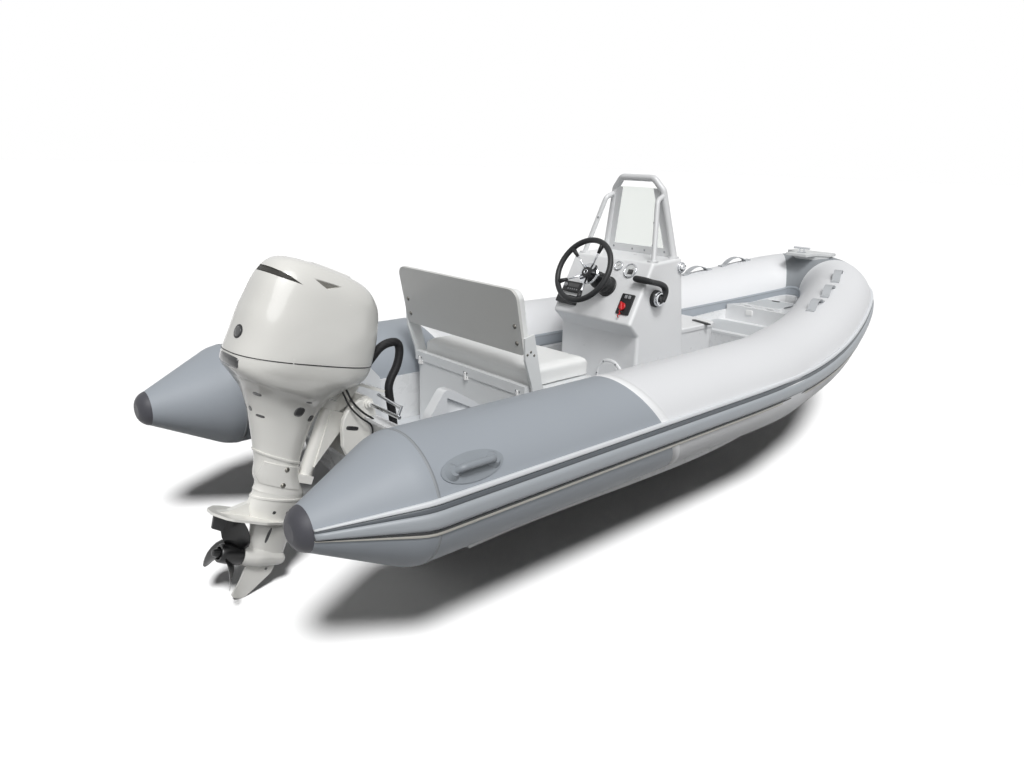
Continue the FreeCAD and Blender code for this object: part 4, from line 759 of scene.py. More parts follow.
def turned(name, mount, outline, steps=48):
    """A lathe-turned piece: pairs of height and radius over a mount, spun round its outward way."""
    rings = []
    for height, radius in outline:
        rings.append([mount.circled(radius, 2 * math.pi * step / steps, height) for step in range(steps)])
    made = lofted(name, rings)
    made.data.set_sharp_from_angle(angle=math.radians(40))
    return made


def lathed(name, mount, outline, finish, body, stands_for=(), steps=48):
    return fitted(turned(name, mount, outline, steps), finish, body, stands_for)


knee_space = Mount((1.484, -0.105, 0.235), (0, 0, 1), (-1, 0, 0))
inspection_plate_outline = ((0.0, 0.096), (0.006, 0.096), (0.009, 0.092), (0.009, 0.084), (0.005, 0.080),
                            (0.005, 0.078), (0.008, 0.075), (0.008, 0.001))
lathed("inspection_plate", knee_space, inspection_plate_outline, console_gelcoat, "boat", steps=64)

# Fasteners: dome-headed steel screws and bolts on washers, set by one node tree wherever a list
# of places asks for them.
washer_share = 1.45
fastener_steel = clouded("fastener_steel", (150, 152, 155), {"Metallic": 0.9},
                         (0.004, 2.0, 0.1), (0.2, 0.34, 0.002, 2.0))


class Growth(Drawing):
    """A geometry tree: it takes a geometry, named numbers and a material, and gives a geometry."""

    def __init__(self, name, numbers):
        super().__init__(bpy.data.node_groups.new(name, "GeometryNodeTree"))
        self.take("Geometry", "Geometry")
        for label, value in numbers.items():
            self.take(label, "Int" if isinstance(value, int) else "Float").default_value = value
        self.take("Material", "Material")
        self.tree.interface.new_socket("Geometry", in_out="OUTPUT", socket_type="NodeSocketGeometry")

    def take(self, label, kind):
        return self.tree.interface.new_socket(label, in_out="INPUT", socket_type="NodeSocket" + kind)

    def given(self, label):
        return self.node("NodeGroupInput", {}, {}, label)

    def finished(self, geometry):
        """Ends the tree with one real mesh in the material that it was given."""
        real = self.node("GeometryNodeRealizeInstances", {}, {"Geometry": geometry})
        inputs = {"Geometry": real, "Material": self.given("Material")}
        dressed = self.node("GeometryNodeSetMaterial", {}, inputs)
        self.feed(self.tree.nodes.new("NodeGroupOutput").inputs[0], dressed)
        return self.tree


def fastener_tree():
    """A domed head on a washer at each point, turned to face the way that the point asks for."""
    tree = Growth("fasteners", {"Head Radius": 0.008, "Head Height": 0.004})
    radius = tree.given("Head Radius")
    height = tree.given("Head Height")
    facing = tree.node("GeometryNodeInputNamedAttribute", {"data_type": "FLOAT_VECTOR"}, {"Name": "facing"},
                       "Attribute")
    turn = tree.node("FunctionNodeAlignRotationToVector", {"axis": "Z"}, {"Vector": facing})
    dome = tree.node("GeometryNodeMeshUVSphere", {}, {"Segments": 16, "Rings": 8, "Radius": 1.0}, "Mesh")
    size = tree.node("ShaderNodeCombineXYZ", {}, {0: radius, 1: radius, 2: height})
    head = tree.node("GeometryNodeTransform", {}, {"Geometry": dome, "Scale": size})
    washer = tree.node("GeometryNodeMeshCylinder", {},
                       {"Vertices": 20, "Radius": radius * washer_share, "Depth": height * 0.5}, "Mesh")
    both = tree.node("GeometryNodeJoinGeometry", {}, {0: washer})
    tree.feed(both.socket.node.inputs[0], head)
    smooth = tree.node("GeometryNodeSetShadeSmooth", {}, {"Geometry": both})
    spots = tree.node("GeometryNodeMeshToPoints", {}, {"Mesh": tree.given("Geometry")})
    set_out = tree.node("GeometryNodeInstanceOnPoints", {},
                        {"Points": spots, "Instance": smooth, "Rotation": turn})
    return tree.finished(set_out)


def grown(name, mesh, tree, inputs):
    """The plain mesh that a node tree makes of another mesh."""
    seed = linked(name + "_seed", mesh)
    modifier = seed.modifiers.new("tree", "NODES")
    modifier.node_group = tree
    for item in tree.interface.items_tree:
        if item.in_out == "INPUT" and item.name in inputs:
            modifier[item.identifier] = inputs[item.name]
    evaluated = seed.evaluated_get(bpy.context.evaluated_depsgraph_get())
    plain = bpy.data.meshes.new_from_object(evaluated)
    bpy.data.objects.remove(seed)
    return linked(name, plain)


fasteners = fastener_tree()


def fasten(name, places, radius, height, body, finish=fastener_steel):
    """Sets one fastener at each pair of a place and the way that its head faces."""
    mesh = bpy.data.meshes.new(name + "_places")
    mesh.from_pydata([place for place, way in places], [], [])
    facing = mesh.attributes.new("facing", "FLOAT_VECTOR", "POINT")
    for spot, (place, way) in enumerate(places):
        facing.data[spot].vector = Vector(way).normalized()
    made = grown(name, mesh, fasteners, {"Head Radius": radius, "Head Height": height,
                                         "Material": finish.material})
    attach(made, body)
    return made


def landed(node, start, way):
    """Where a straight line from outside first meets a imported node, and the way out there."""
    way = Vector(way).normalized()
    hit, place, normal, face = nodes[node].ray_cast(Vector(start), way)
    if not hit:
        return Vector(start), -way
    return place, normal if normal.dot(way) < 0 else -normal


plate_screws = [(knee_space.circled(0.088, math.radians(60 * step), 0.0095),
                 knee_space.out) for step in range(6)]
fasten("inspection_screws", plate_screws, 0.0035, 0.002, "boat")

# Helm: a black rotary steering head bolted to the dash, with the shaft that carries the wheel.
dash_lip = (1.405, 0.0, 0.560)
dash_top = (1.574, 0.0, 0.877)
dash_slope = Vector(dash_top) - Vector(dash_lip)
dash = Mount(dash_lip, dash_slope, (-dash_slope.z, 0, dash_slope.x))
helm_place = dash.moved(0.042, 0.53 * dash_slope.length)
helm_outline = ((0.001, 0.058), (0.008, 0.058), (0.011, 0.055), (0.012, 0.050), (0.030, 0.050),
                (0.032, 0.0485), (0.034, 0.050), (0.062, 0.049), (0.064, 0.0475), (0.066, 0.0485),
                (0.103, 0.046), (0.110, 0.040), (0.112, 0.017), (0.149, 0.014))
helm = lathed("helm", helm_place, helm_outline, black_plastic, "boat", ["helm_hub"])

# Steering wheel: a padded black rim on five polished rods that run down into a dished steel hub.
# Each rod ends in a black tapered sleeve under the rim, and a black cap covers the hub nut.
wheel_radius = 0.170
wheel_rim = 0.015
wheel_dish = 0.080
spoke_count = 5
spoke_start = 68.0
wheel_place = helm_place.moved(0, 0, 0.230)
rim_outline = [(wheel_rim * math.sin(math.radians(20 * step)),
                wheel_radius + wheel_rim * math.cos(math.radians(20 * step))) for step in range(19)]


def ring_of(name, mount, outline, steps=96):
    """A closed ring: an outline that ends where it starts, spun round a mount."""
    rings = [[mount.circled(radius, 2 * math.pi * step / steps, height) for height, radius in outline[:-1]]
             for step in range(steps + 1)]
    return lofted(name, rings, capped=False)


rim_leather = clouded("rim_leather", (30, 31, 33), {"Specular IOR Level": 0.4},
                      (0.03, 3.0, 0.1), (0.4, 0.52, 0.01, 3.0))
rim_leather.raised(rim_leather.cells(0.0016), 0.00012)
fitted(ring_of("wheel_rim", wheel_place, rim_outline), rim_leather, "wheel", ["steering_wheel"])


def round_tree():
    """Repeats one piece round the z axis, with a first angle."""
    tree = Growth("spokes", {"Count": 5, "First Angle": 0.0})
    count = tree.given("Count")
    spots = tree.node("GeometryNodePoints", {}, {"Count": count})
    angle = tree.node("GeometryNodeInputIndex", {}, {}) / count * (2 * math.pi) + tree.given("First Angle")
    turn = tree.node("ShaderNodeCombineXYZ", {}, {2: angle})
    set_out = tree.node("GeometryNodeInstanceOnPoints", {},
                        {"Points": spots, "Instance": tree.given("Geometry"), "Rotation": turn})
    return tree.finished(set_out)


def taper(start, end, start_radius, end_radius, steps=16):
    """Two rings of points, round the ends of the line from one place to another."""
    way = (end - start).normalized()
    side = way.orthogonal().normalized()
    third = way.cross(side)
    turns = [2 * math.pi * step / steps for step in range(steps)]
    return [[centre + side * radius * math.cos(turn) + third * radius * math.sin(turn) for turn in turns]
            for centre, radius in ((start, start_radius), (end, end_radius))]


def set_round(name, rings, mount, count, first_degrees, finish, body):
    """Copies of one skin, evenly spread round a mount's outward way."""
    one = lofted(name + "_one", rings)
    made = grown(name, one.data, spokes, {"Count": count, "First Angle": math.radians(first_degrees),
                                          "Material": finish.material})
    bpy.data.objects.remove(one)
    made.data.transform(mount.matrix())
    outwards(made)
    made.data.shade_smooth()
    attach(made, body)
    return made


spokes = round_tree()
hub_end = Vector((0.022, 0, -0.040))
rim_end = Vector((wheel_radius - 0.008, 0, 0.0))
sleeve_start = hub_end.lerp(rim_end, 0.66)
set_round("wheel_rods", taper(hub_end, rim_end, 0.0052, 0.0052), wheel_place, spoke_count, spoke_start,
          polished_steel, "wheel")
set_round("wheel_sleeves", taper(sleeve_start, rim_end, 0.0085, 0.0135), wheel_place, spoke_count,
          spoke_start, rim_leather, "wheel")
wheel_hub_outline = ((-wheel_dish, 0.030), (-wheel_dish, 0.045), (-0.070, 0.049), (-0.052, 0.060),
                     (-0.046, 0.0605), (-0.043, 0.057), (-0.046, 0.050), (-0.049, 0.034), (-0.049, 0.001))
lathed("wheel_hub", wheel_place, wheel_hub_outline, polished_steel, "wheel")
wheel_cap_outline = ((-0.050, 0.030), (-0.028, 0.030), (-0.022, 0.027), (-0.020, 0.022), (-0.0195, 0.001))
lathed("wheel_cap", wheel_place, wheel_cap_outline, black_plastic, "wheel")
cap_ring = [(-0.0205 + 0.0022 * math.sin(math.radians(45 * step)),
             0.011 + 0.0022 * math.cos(math.radians(45 * step))) for step in range(9)]
fitted(ring_of("wheel_cap_ring", wheel_place, cap_ring, 40), polished_steel, "wheel")

# Gauges: two round instruments behind glass in bright bezels. The small one has a pale dial and
# the large one a square window.
dial_white = clouded("dial_white", (214, 216, 216), {"Coat Weight": 1.0, "Coat Roughness": 0.03},
                     (0.01, 2.0, 0.03), (0.45, 0.55, 0.01, 2.0))
dial_black = clouded("dial_black", (22, 23, 25), {"Coat Weight": 1.0, "Coat Roughness": 0.03},
                     (0.01, 2.0, 0.08), (0.35, 0.45, 0.01, 2.0))
gauge_list = (("speed_gauge", 0.065, 0.884, 0.027), ("engine_gauge", 0.155, 0.835, 0.041))
for name, across, share, radius in gauge_list:
    gauge_place = dash.moved(across, share * dash_slope.length)
    bezel = [(0.001, radius - 0.010), (0.001, radius), (0.0065, radius), (0.0092, radius - 0.0012),
             (0.0102, radius - 0.0035), (0.0092, radius - 0.0062), (0.0060, radius - 0.0074),
             (0.001, radius - 0.010)]
    fitted(ring_of(name + "_bezel", gauge_place, bezel, 64), polished_steel, "boat", ["gauges"])
    dial = ((0.002, radius - 0.0074), (0.0055, radius - 0.0074), (0.0058, radius - 0.009), (0.0058, 0.001))
    lathed(name + "_dial", gauge_place, dial, dial_white, "boat")
    pointer = [(-0.0009, -0.004), (0.0009, -0.004), (0.0004, radius * 0.55), (-0.0004, radius * 0.55)]
    needle = moulded(name + "_needle", gauge_place.tipped(-50), pointer, 0.0055, 0.0072, 0.0003)
    fitted(needle, dial_black, "boat")
engine_window = dash.moved(0.159, 0.835 * dash_slope.length - 0.008)
plate("engine_gauge_window", engine_window, (0.018, 0.014, 0.003), (0.0055, 0.0070), 0.0008, dial_black,
      "boat")

# Throttle: a side-mounted control with a black housing, a polished ring and a curved lever whose
# rubber grip turns inboard over the dash.
control_place = Mount((1.605, -0.283, 0.688), (0, 0, 1), (0, -1, 0))
throttle_housing_outline = ((0.001, 0.046), (0.016, 0.046), (0.022, 0.0435), (0.026, 0.038), (0.026, 0.001))
lathed("throttle_housing", control_place, throttle_housing_outline, black_plastic, "boat", ["throttle"])
throttle_ring_outline = ((0.025, 0.040), (0.038, 0.040), (0.043, 0.037), (0.044, 0.030), (0.041, 0.025),
                         (0.034, 0.023), (0.034, 0.001))
lathed("throttle_ring", control_place, throttle_ring_outline, polished_steel, "boat")
throttle_boss_outline = ((0.033, 0.018), (0.044, 0.018), (0.047, 0.015), (0.048, 0.001))
lathed("throttle_boss", control_place, throttle_boss_outline, black_plastic, "boat")


def traced(name, points, radius, shares=None):
    """The mesh of a smooth line near its points: a round bar, or the bare line at no radius."""
    curve = bpy.data.curves.new(name, "CURVE")
    curve.dimensions = "3D"
    curve.bevel_depth = radius
    curve.bevel_resolution = 6
    curve.resolution_u = 10
    curve.use_fill_caps = radius > 0
    spline = curve.splines.new("NURBS")
    spline.points.add(len(points) - 1)
    for spot, place in enumerate(points):
        spline.points[spot].co = (*place, 1)
        spline.points[spot].radius = shares[spot] if shares else 1.0
    spline.order_u = 3
    spline.use_endpoint_u = True
    line = linked(name + "_line", curve)
    mesh = bpy.data.meshes.new_from_object(line.evaluated_get(bpy.context.evaluated_depsgraph_get()))
    bpy.data.objects.remove(line)
    return mesh


def bar(name, points, radius, shares=None):
    """A round bar along a smooth line, thicker or thinner at each of its points where asked."""
    made = linked(name, traced(name, points, radius, shares))
    outwards(made)
    made.data.shade_smooth()
    return made


lever_line = ((1.622, -0.324, 0.676), (1.643, -0.324, 0.712), (1.634, -0.324, 0.752),
              (1.588, -0.324, 0.774), (1.540, -0.323, 0.784), (1.498, -0.322, 0.793))
grip_line = ((1.499, -0.334, 0.793), (1.497, -0.312, 0.794), (1.494, -0.268, 0.796), (1.492, -0.228, 0.798),
             (1.492, -0.224, 0.798))
fitted(bar("throttle_lever", lever_line, 0.0155, (0.9, 1.1, 1.15, 1.0, 0.95, 1.0)), black_plastic, "boat")
fitted(bar("throttle_grip", grip_line, 0.0175, (0.8, 1.0, 1.06, 1.0, 0.7)), rim_leather, "boat")

# Switch panel: a black plate with two small grey switches over the red emergency stop, whose
# coiled clip hangs below it.
switch_place = dash.moved(0.208, 0.31 * dash_slope.length)
panel_plate = moulded("switch_plate", switch_place, rounded_outline(0.043, 0.058, 0.006), 0.001, 0.008,
                      0.002)
fitted(panel_plate, black_plastic, "boat", ["switch_panel"])
switch_grey = clouded("switch_grey", (150, 152, 154), {"Specular IOR Level": 0.4},
                      (0.01, 2.0, 0.06), (0.35, 0.45, 0.01, 2.0))
for name, across in (("switch_left", -0.010), ("switch_right", 0.014)):
    rocker = moulded(name, switch_place.moved(across, 0.040), rounded_outline(0.0075, 0.0095, 0.002), 0.006,
                     0.0135, 0.002)
    fitted(rocker, switch_grey, "boat")
stop_red = clouded("stop_red", (196, 28, 34), {"Specular IOR Level": 0.5},
                   (0.012, 2.0, 0.1), (0.26, 0.38, 0.01, 2.0))
stop_place = switch_place.moved(-0.012, -0.016)
stop_collar_outline = ((0.007, 0.021), (0.012, 0.021), (0.015, 0.018), (0.015, 0.001))
lathed("stop_collar", stop_place, stop_collar_outline, stop_red, "boat")
plate("stop_lever", stop_place.tipped(25), (0.0065, 0.025, 0.006), (0.013, 0.025), 0.004, stop_red, "boat")
clip_line = [stop_place.at(0.004 + 0.006 * math.cos(step * 1.4), -0.020 - 0.0055 * step,
                           0.016 + 0.005 * math.sin(step * 1.4)) for step in range(9)]
fitted(bar("stop_clip", clip_line, 0.0028), stop_red, "boat")

# Sound unit: a flat black set with a dark window, a knob and a row of keys, and a plain junction
# box below it.
radio_place = dash.moved(-0.195, 0.42 * dash_slope.length)
plate("radio_body", radio_place, (0.066, 0.030, 0.006), (0.001, 0.016), 0.003, black_plastic, "boat",
      ["radio"])
plate("radio_window", radio_place.moved(0.012, 0.008), (0.040, 0.011, 0.002), (0.015, 0.0172), 0.0006,
      dial_black, "boat")
radio_knob_outline = ((0.015, 0.012), (0.022, 0.0115), (0.024, 0.0100), (0.024, 0.001))
lathed("radio_knob", radio_place.moved(-0.046, 0.004), radio_knob_outline, switch_grey, "boat", steps=32)
key_spots = [radio_place.at(-0.022 + 0.0165 * step, -0.016, 0.0165) for step in range(5)]
fasten("radio_keys", [(place, radio_place.out) for place in key_spots], 0.0036, 0.0018, "boat",
       switch_grey)
box_place = dash.moved(-0.195, 0.20 * dash_slope.length)
plate("junction_box", box_place, (0.070, 0.024, 0.005), (0.001, 0.030), 0.004, black_plastic, "boat")

# Navigation lamp: a polished cup on the console's side with a polished dome and a dark shutter.
lamp_place = Mount((1.816, -0.283, 0.838), (0, 0, 1), (0, -1, 0))
lamp_cup_outline = ((0.001, 0.031), (0.007, 0.031), (0.011, 0.0285), (0.012, 0.0255), (0.009, 0.0235),
                    (0.009, 0.001))
lathed("lamp_cup", lamp_place, lamp_cup_outline, polished_steel, "boat", ["lamp"])
lamp_dome_outline = ((0.008, 0.0235), (0.016, 0.0215), (0.022, 0.0165), (0.026, 0.009), (0.027, 0.001))
lathed("lamp_dome", lamp_place, lamp_dome_outline, polished_steel, "boat")
plate("lamp_shutter", lamp_place.tipped(35), (0.0215, 0.0045, 0.004), (0.012, 0.0245), 0.004, dial_black,
      "boat")

# Hoop and screen: a bent tube frame with welded strips, painted white, and a tinted clear sheet
# held against the strips by small screws.
wear("grab_rail", gelcoat("rail_paint", (226, 227, 228), 0.3))
acrylic = Finish("acrylic", (231, 234, 231), {"Roughness": 0.03, "Transmission Weight": 0.94, "IOR": 1.05})
wear("windscreen", acrylic)
screen_spots = [(0.198, 1.078), (0.222, 0.962), (0.183, 0.913), (0.044, 0.909)]
screen_screws = [landed("grab_rail", (1.60, side * y, z), (1, 0, 0))
                 for y, z in screen_spots for side in (1, -1)]
fasten("screen_screws", screen_screws, 0.0042, 0.0022, "boat")

# Front seat: a moulded box ahead of the console, with a lid that a flush black handle opens.
seat_gelcoat = gelcoat("seat_gelcoat", (232, 233, 234), 0.24)
wear("front_seat", seat_gelcoat)
wear("front_seat_lid", seat_gelcoat)
handle_place = Mount((2.150, -0.229, 0.478), (-0.037, -0.146, 0), (0, 0, 1))
plate("lid_handle", handle_place, (0.015, 0.075, 0.0145), (0.0, 0.006), 0.003, black_plastic, "front_lid")
plate("lid_handle_flap", handle_place.moved(0, 0.004), (0.009, 0.052, 0.0085), (0.005, 0.009), 0.002,
      dial_black, "front_lid")

# Bench: a gelcoat box with a hinged tray on it. White over-centre latches hold the tray down
# along the aft edge.
bench_gelcoat = gelcoat("bench_gelcoat", (226, 228, 229), 0.24)
wear("bench_base", bench_gelcoat)
wear("bench_lid", bench_gelcoat)
bench_face_x = 0.535
for end, along in (("port", 0.375), ("middle", 0.0), ("starboard", -0.375)):
    name = "bench_latch_" + end
    latch_place = Mount((bench_face_x, along, 0.366), (0, 0, 1), (-1, 0, 0))
    plate(name, latch_place, (0.017, 0.010, 0.004), (-0.006, 0.004), 0.002, latch_plastic, "bench_top")
    plate(name + "_hook", latch_place.moved(0, 0.010), (0.006, 0.021, 0.004), (0.003, 0.009), 0.002,
          latch_plastic, "bench_top")
    spots = [(latch_place.at(across, 0.024 * up, 0.003), latch_place.out) for across in (-0.011, 0.011)
             for up in (0.25, 1.15)]
    fasten(name + "_screws", spots, 0.0035, 0.002, "bench_top")

# Backrest: a smooth painted board with a padded front, bolted to moulded brackets that stand on
# the tray. Dark washers show where the bolts come through the board.
board_paint = gelcoat("board_paint", (214, 214, 211), 0.34)
wear("backrest_board", board_paint)
wear("backrest_brackets", gelcoat("bracket_gelcoat", (228, 230, 230), 0.26))
board_low = (0.507, 0.0, 0.572)
board_high = (0.446, 0.0, 0.864)
board_slope = Vector(board_high) - Vector(board_low)
board_out = Vector((-board_slope.z, 0, board_slope.x)).normalized()
bolt_spots = [landed("backrest_board", Vector((0.30, side * 0.40, z)), (1, 0, 0))
              for side in (1, -1) for z in (0.700, 0.623)]
bolt_steel = clouded("bolt_steel", (120, 118, 112), {"Metallic": 0.85},
                     (0.004, 2.0, 0.12), (0.22, 0.36, 0.002, 2.0))
fasten("backrest_bolts", bolt_spots, 0.0075, 0.0045, "bench_top", bolt_steel)
bracket_spots = [landed("backrest_brackets", (x, side * 0.60, z), (0, -side, 0))
                 for x, z in ((0.516, 0.578), (0.536, 0.588), (0.556, 0.570)) for side in (1, -1)]
fasten("bracket_screws", bracket_spots, 0.0042, 0.0024, "bench_top", bolt_steel)

# Cushion and backrest pad: foam in a sewn cover of white marine vinyl, pulled tight so that the
# faces crown between the edges.
vinyl = clouded("marine_vinyl", (240, 241, 240), {"Specular IOR Level": 0.4},
                (0.12, 3.0, 0.012), (0.36, 0.5, 0.02, 3.0))
vinyl.raised(vinyl.cells(0.0020) * 0.6 + vinyl.noise(0.03, 2.0) * 0.4, 0.00018)

cloth_pressure = 4.0
cloth_frames = 20


def inflated(name, node, slack, grain, reach, resting):
    """A padded piece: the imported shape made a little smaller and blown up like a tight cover."""
    made = linked(name, nodes[node].data.copy())
    outwards(made)
    low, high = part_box(node)
    middle = (Vector(low) + Vector(high)) / 2
    size = Vector(high) - Vector(low)
    shares = [1 - 2 * slack / value for value in size]
    for vertex in made.data.vertices:
        vertex.co = middle + Vector([share * (a - b) for share, a, b in zip(shares, vertex.co, middle)])
    remesh = made.modifiers.new("even", "REMESH")
    remesh.mode = "VOXEL"
    remesh.voxel_size = grain
    settle(made)
    rest = [vertex.co.copy() for vertex in made.data.vertices]
    cloth = made.modifiers.new("cover", "CLOTH")
    cloth.settings.quality = 6
    cloth.settings.mass = 0.3
    cloth.settings.use_pressure = True
    cloth.settings.uniform_pressure_force = cloth_pressure
    cloth.settings.effector_weights.gravity = 0.0
    for moment in range(1, cloth_frames + 1):
        bpy.context.scene.frame_set(moment)
    settle(made)
    bpy.context.scene.frame_set(1)
    for vertex, start in zip(made.data.vertices, rest):
        move = vertex.co - start
        if move.length > reach:
            vertex.co = start + move * (reach / move.length)
    for vertex in made.data.vertices:
        held = resting.out.dot(vertex.co - resting.origin)
        if held < 0:
            vertex.co -= resting.out * held
    finer = made.modifiers.new("finer", "SUBSURF")
    finer.levels = 1
    finer.render_levels = 1
    settle(made)
    made.data.shade_smooth()
    return made


def settle(made):
    """Turns what an object's modifiers make into its own plain mesh."""
    evaluated = made.evaluated_get(bpy.context.evaluated_depsgraph_get())
    plain = bpy.data.meshes.new_from_object(evaluated)
    made.modifiers.clear()
    made.data = plain


seat_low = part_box("bench_cushion")[0]
cushion_rest = Mount((0, 0, seat_low[2]), (1, 0, 0), (0, 0, 1))
cushion = inflated("seat_cushion", "bench_cushion", 0.005, 0.008, 0.011, cushion_rest)
fitted(cushion, vinyl, "bench_top", ["bench_cushion"])
pad_rest = Mount(Vector(board_low) - board_out * 0.0145, board_slope, -board_out)
pad = inflated("back_pad", "backrest_pad", 0.003, 0.007, 0.008, pad_rest)
fitted(pad, vinyl, "bench_top", ["backrest_pad"])

# Motor's mountings: clamp and swivel brackets, cast and sprayed in the motor's pearl white, with
# a polished trim rod and steering ram.
motor_tilt = math.radians(24.0)
tilt_axis = (-0.070, 0.385)


def hung(x, y, z):
    """A place on the motor, given with the motor upright and turned up to its rest."""
    ahead = x - tilt_axis[0]
    over = z - tilt_axis[1]
    return Vector((tilt_axis[0] + ahead * math.cos(motor_tilt) + over * math.sin(motor_tilt), y,
                   tilt_axis[1] - ahead * math.sin(motor_tilt) + over * math.cos(motor_tilt)))


def hung_way(x, y, z):
    return hung(x, y, z) - hung(0, 0, 0)


pearl = Finish("pearl_paint", (234, 233, 228), {"Specular IOR Level": 0.5, "Coat Weight": 0.55,
                                                "Coat Roughness": 0.05})
pearl.tinted(pearl.noise(0.0009, 1.0) * 0.7 + pearl.noise(0.2, 2.0) * 0.3, 0.035)
pearl.rough(0.2, 0.3, pearl.noise(0.04, 3.0))
pearl.raised(pearl.noise(0.06, 2.0), 0.00004)
for node in ("cowl_upper", "cowl_lower", "midsection", "gearcase", "swivel_bracket", "clamp_bracket",
             "trim_cylinder", "steering_arm"):
    wear(node, pearl)
for node in ("steering_ram", "trim_rod"):
    wear(node, polished_steel)
wear("powerhead", black_plastic)
wear("trim_tab", black_plastic)

patch_reach = 0.25
patch_sink = 0.0008


def squarish(turn, power):
    """A place on an outline one wide and one high, between an oval and a square."""
    return [math.copysign(abs(share) ** (2 / power), share) for share in (math.cos(turn), math.sin(turn))]


def skinned(name, node, middle, way, up, half_width, half_height, lift, squareness=2.0, rows=5, steps=36):
    """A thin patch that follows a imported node's skin: a rounded outline thrown onto it."""
    view = Mount(middle, up, way)
    rings = []
    for row in range(1, rows + 2):
        share = min(row, rows) / rows
        ring = []
        for step in range(steps):
            wide, tall = squarish(2 * math.pi * step / steps, squareness)
            start = view.at(half_width * share * wide, half_height * share * tall, patch_reach)
            place, normal = landed(node, start, -view.out)
            ring.append(place + normal * (lift if row <= rows else -patch_sink))
        rings.append(ring)
    return lofted(name, rings)


# Cowl trim: a blank dark disc and a tinted window in the aft corner, and a rubber seal along the
# line where the cowl opens.
motor_up = hung_way(0, 0, 1)
disc_place = hung(-0.682, -0.031, 0.515)
disc_way = hung_way(-1, -0.25, 0)
fitted(skinned("cowl_disc", "cowl_upper", disc_place, disc_way, motor_up, 0.027, 0.027, 0.0016),
       black_plastic, "motor")
fitted(skinned("cowl_disc_centre", "cowl_upper", disc_place, disc_way, motor_up, 0.019, 0.019, 0.0024),
       dial_black, "motor")
fitted(skinned("cowl_window", "cowl_lower", hung(-0.675, -0.012, 0.403), hung_way(-1, 0, 0), motor_up,
               0.074, 0.020, 0.0012, 6.0, 5, 56), dial_black, "motor")


def girdle_tree():
    """A round cord along every edge of the geometry."""
    tree = Growth("girdle", {"Radius": 0.001})
    path = tree.node("GeometryNodeMeshToCurve", {}, {"Mesh": tree.given("Geometry")})
    ring = tree.node("GeometryNodeCurvePrimitiveCircle", {},
                     {"Resolution": 8, "Radius": tree.given("Radius")})
    return tree.finished(tree.node("GeometryNodeCurveToMesh", {}, {"Curve": path, "Profile Curve": ring}))


def girdle(name, node, place, way, radius):
    """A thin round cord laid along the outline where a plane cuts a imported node."""
    cut = bmesh.new()
    cut.from_mesh(nodes[node].data)
    bmesh.ops.remove_doubles(cut, verts=cut.verts, dist=1e-5)
    bmesh.ops.bisect_plane(cut, geom=cut.verts[:] + cut.edges[:] + cut.faces[:], plane_co=place,
                           plane_no=way, clear_inner=True, clear_outer=True)
    mesh = bpy.data.meshes.new(name)
    cut.to_mesh(mesh)
    cut.free()
    made = grown(name, mesh, girdles, {"Radius": radius, "Material": black_plastic.material})
    outwards(made)
    made.data.shade_smooth()
    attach(made, "motor")


girdles = girdle_tree()
seal_radius = 0.0021
split_aft = hung(-0.680, 0.0, 0.4325)
split_front = hung(-0.121, 0.0, 0.5385)
split_way = (split_front - split_aft).cross(Vector((0, 1, 0))).normalized()
girdle("cowl_seal_front", "cowl_lower", split_aft, split_way, seal_radius)
girdle("cowl_seal_aft", "cowl_upper", split_aft, split_way, seal_radius)

# Air scoop: a dark sheet set back inside the scoop round the cowl's aft end, painted shade for its
# hollow, with fine ridges in it; and a grey panel of painted shade in the hollow on each side of the roof.
# Painted shade: the scoop's hollow is lined with a dark colour where only shade falls.
scoop_mesh = clouded("scoop_mesh", (62, 61, 58), {"Specular IOR Level": 0.3},
                     (0.02, 2.0, 0.1), (0.5, 0.65, 0.01, 2.0))
scoop_mesh.raised(scoop_mesh.waves(0.005, "Z"), 0.0008)
scoop_floor = 0.7572
scoop_roof = ((-0.720, 0.796), (-0.600, 0.772), (-0.552, 0.7576))
scoop_turns = (110.0, 250.0)
scoop_inset = 0.004
scoop_wall = 0.003
post_lift = 0.0018
skin_low = (0.750, -0.663, -0.138, 0.157)
skin_high = (0.790, -0.648, -0.163, 0.144)
cowl_squareness = 2.7
scoop_post = (-0.640, -0.592)


def on_cowl(turn, height, lift):
    """A place on the cowl's skin at a height near its scoop, or a little outside it."""
    share = (height - skin_low[0]) / (skin_high[0] - skin_low[0])
    aft, front, half = (low + (high - low) * share for low, high in zip(skin_low[1:], skin_high[1:]))
    along, across = squarish(turn, cowl_squareness)
    return (aft + front) / 2 + ((front - aft) / 2 + lift) * along, (half + lift) * across


def roof_over(x):
    for (first_x, first_z), (last_x, last_z) in zip(scoop_roof, scoop_roof[1:]):
        if x <= last_x:
            return first_z + (last_z - first_z) * (x - first_x) / (last_x - first_x)
    return scoop_roof[-1][1]


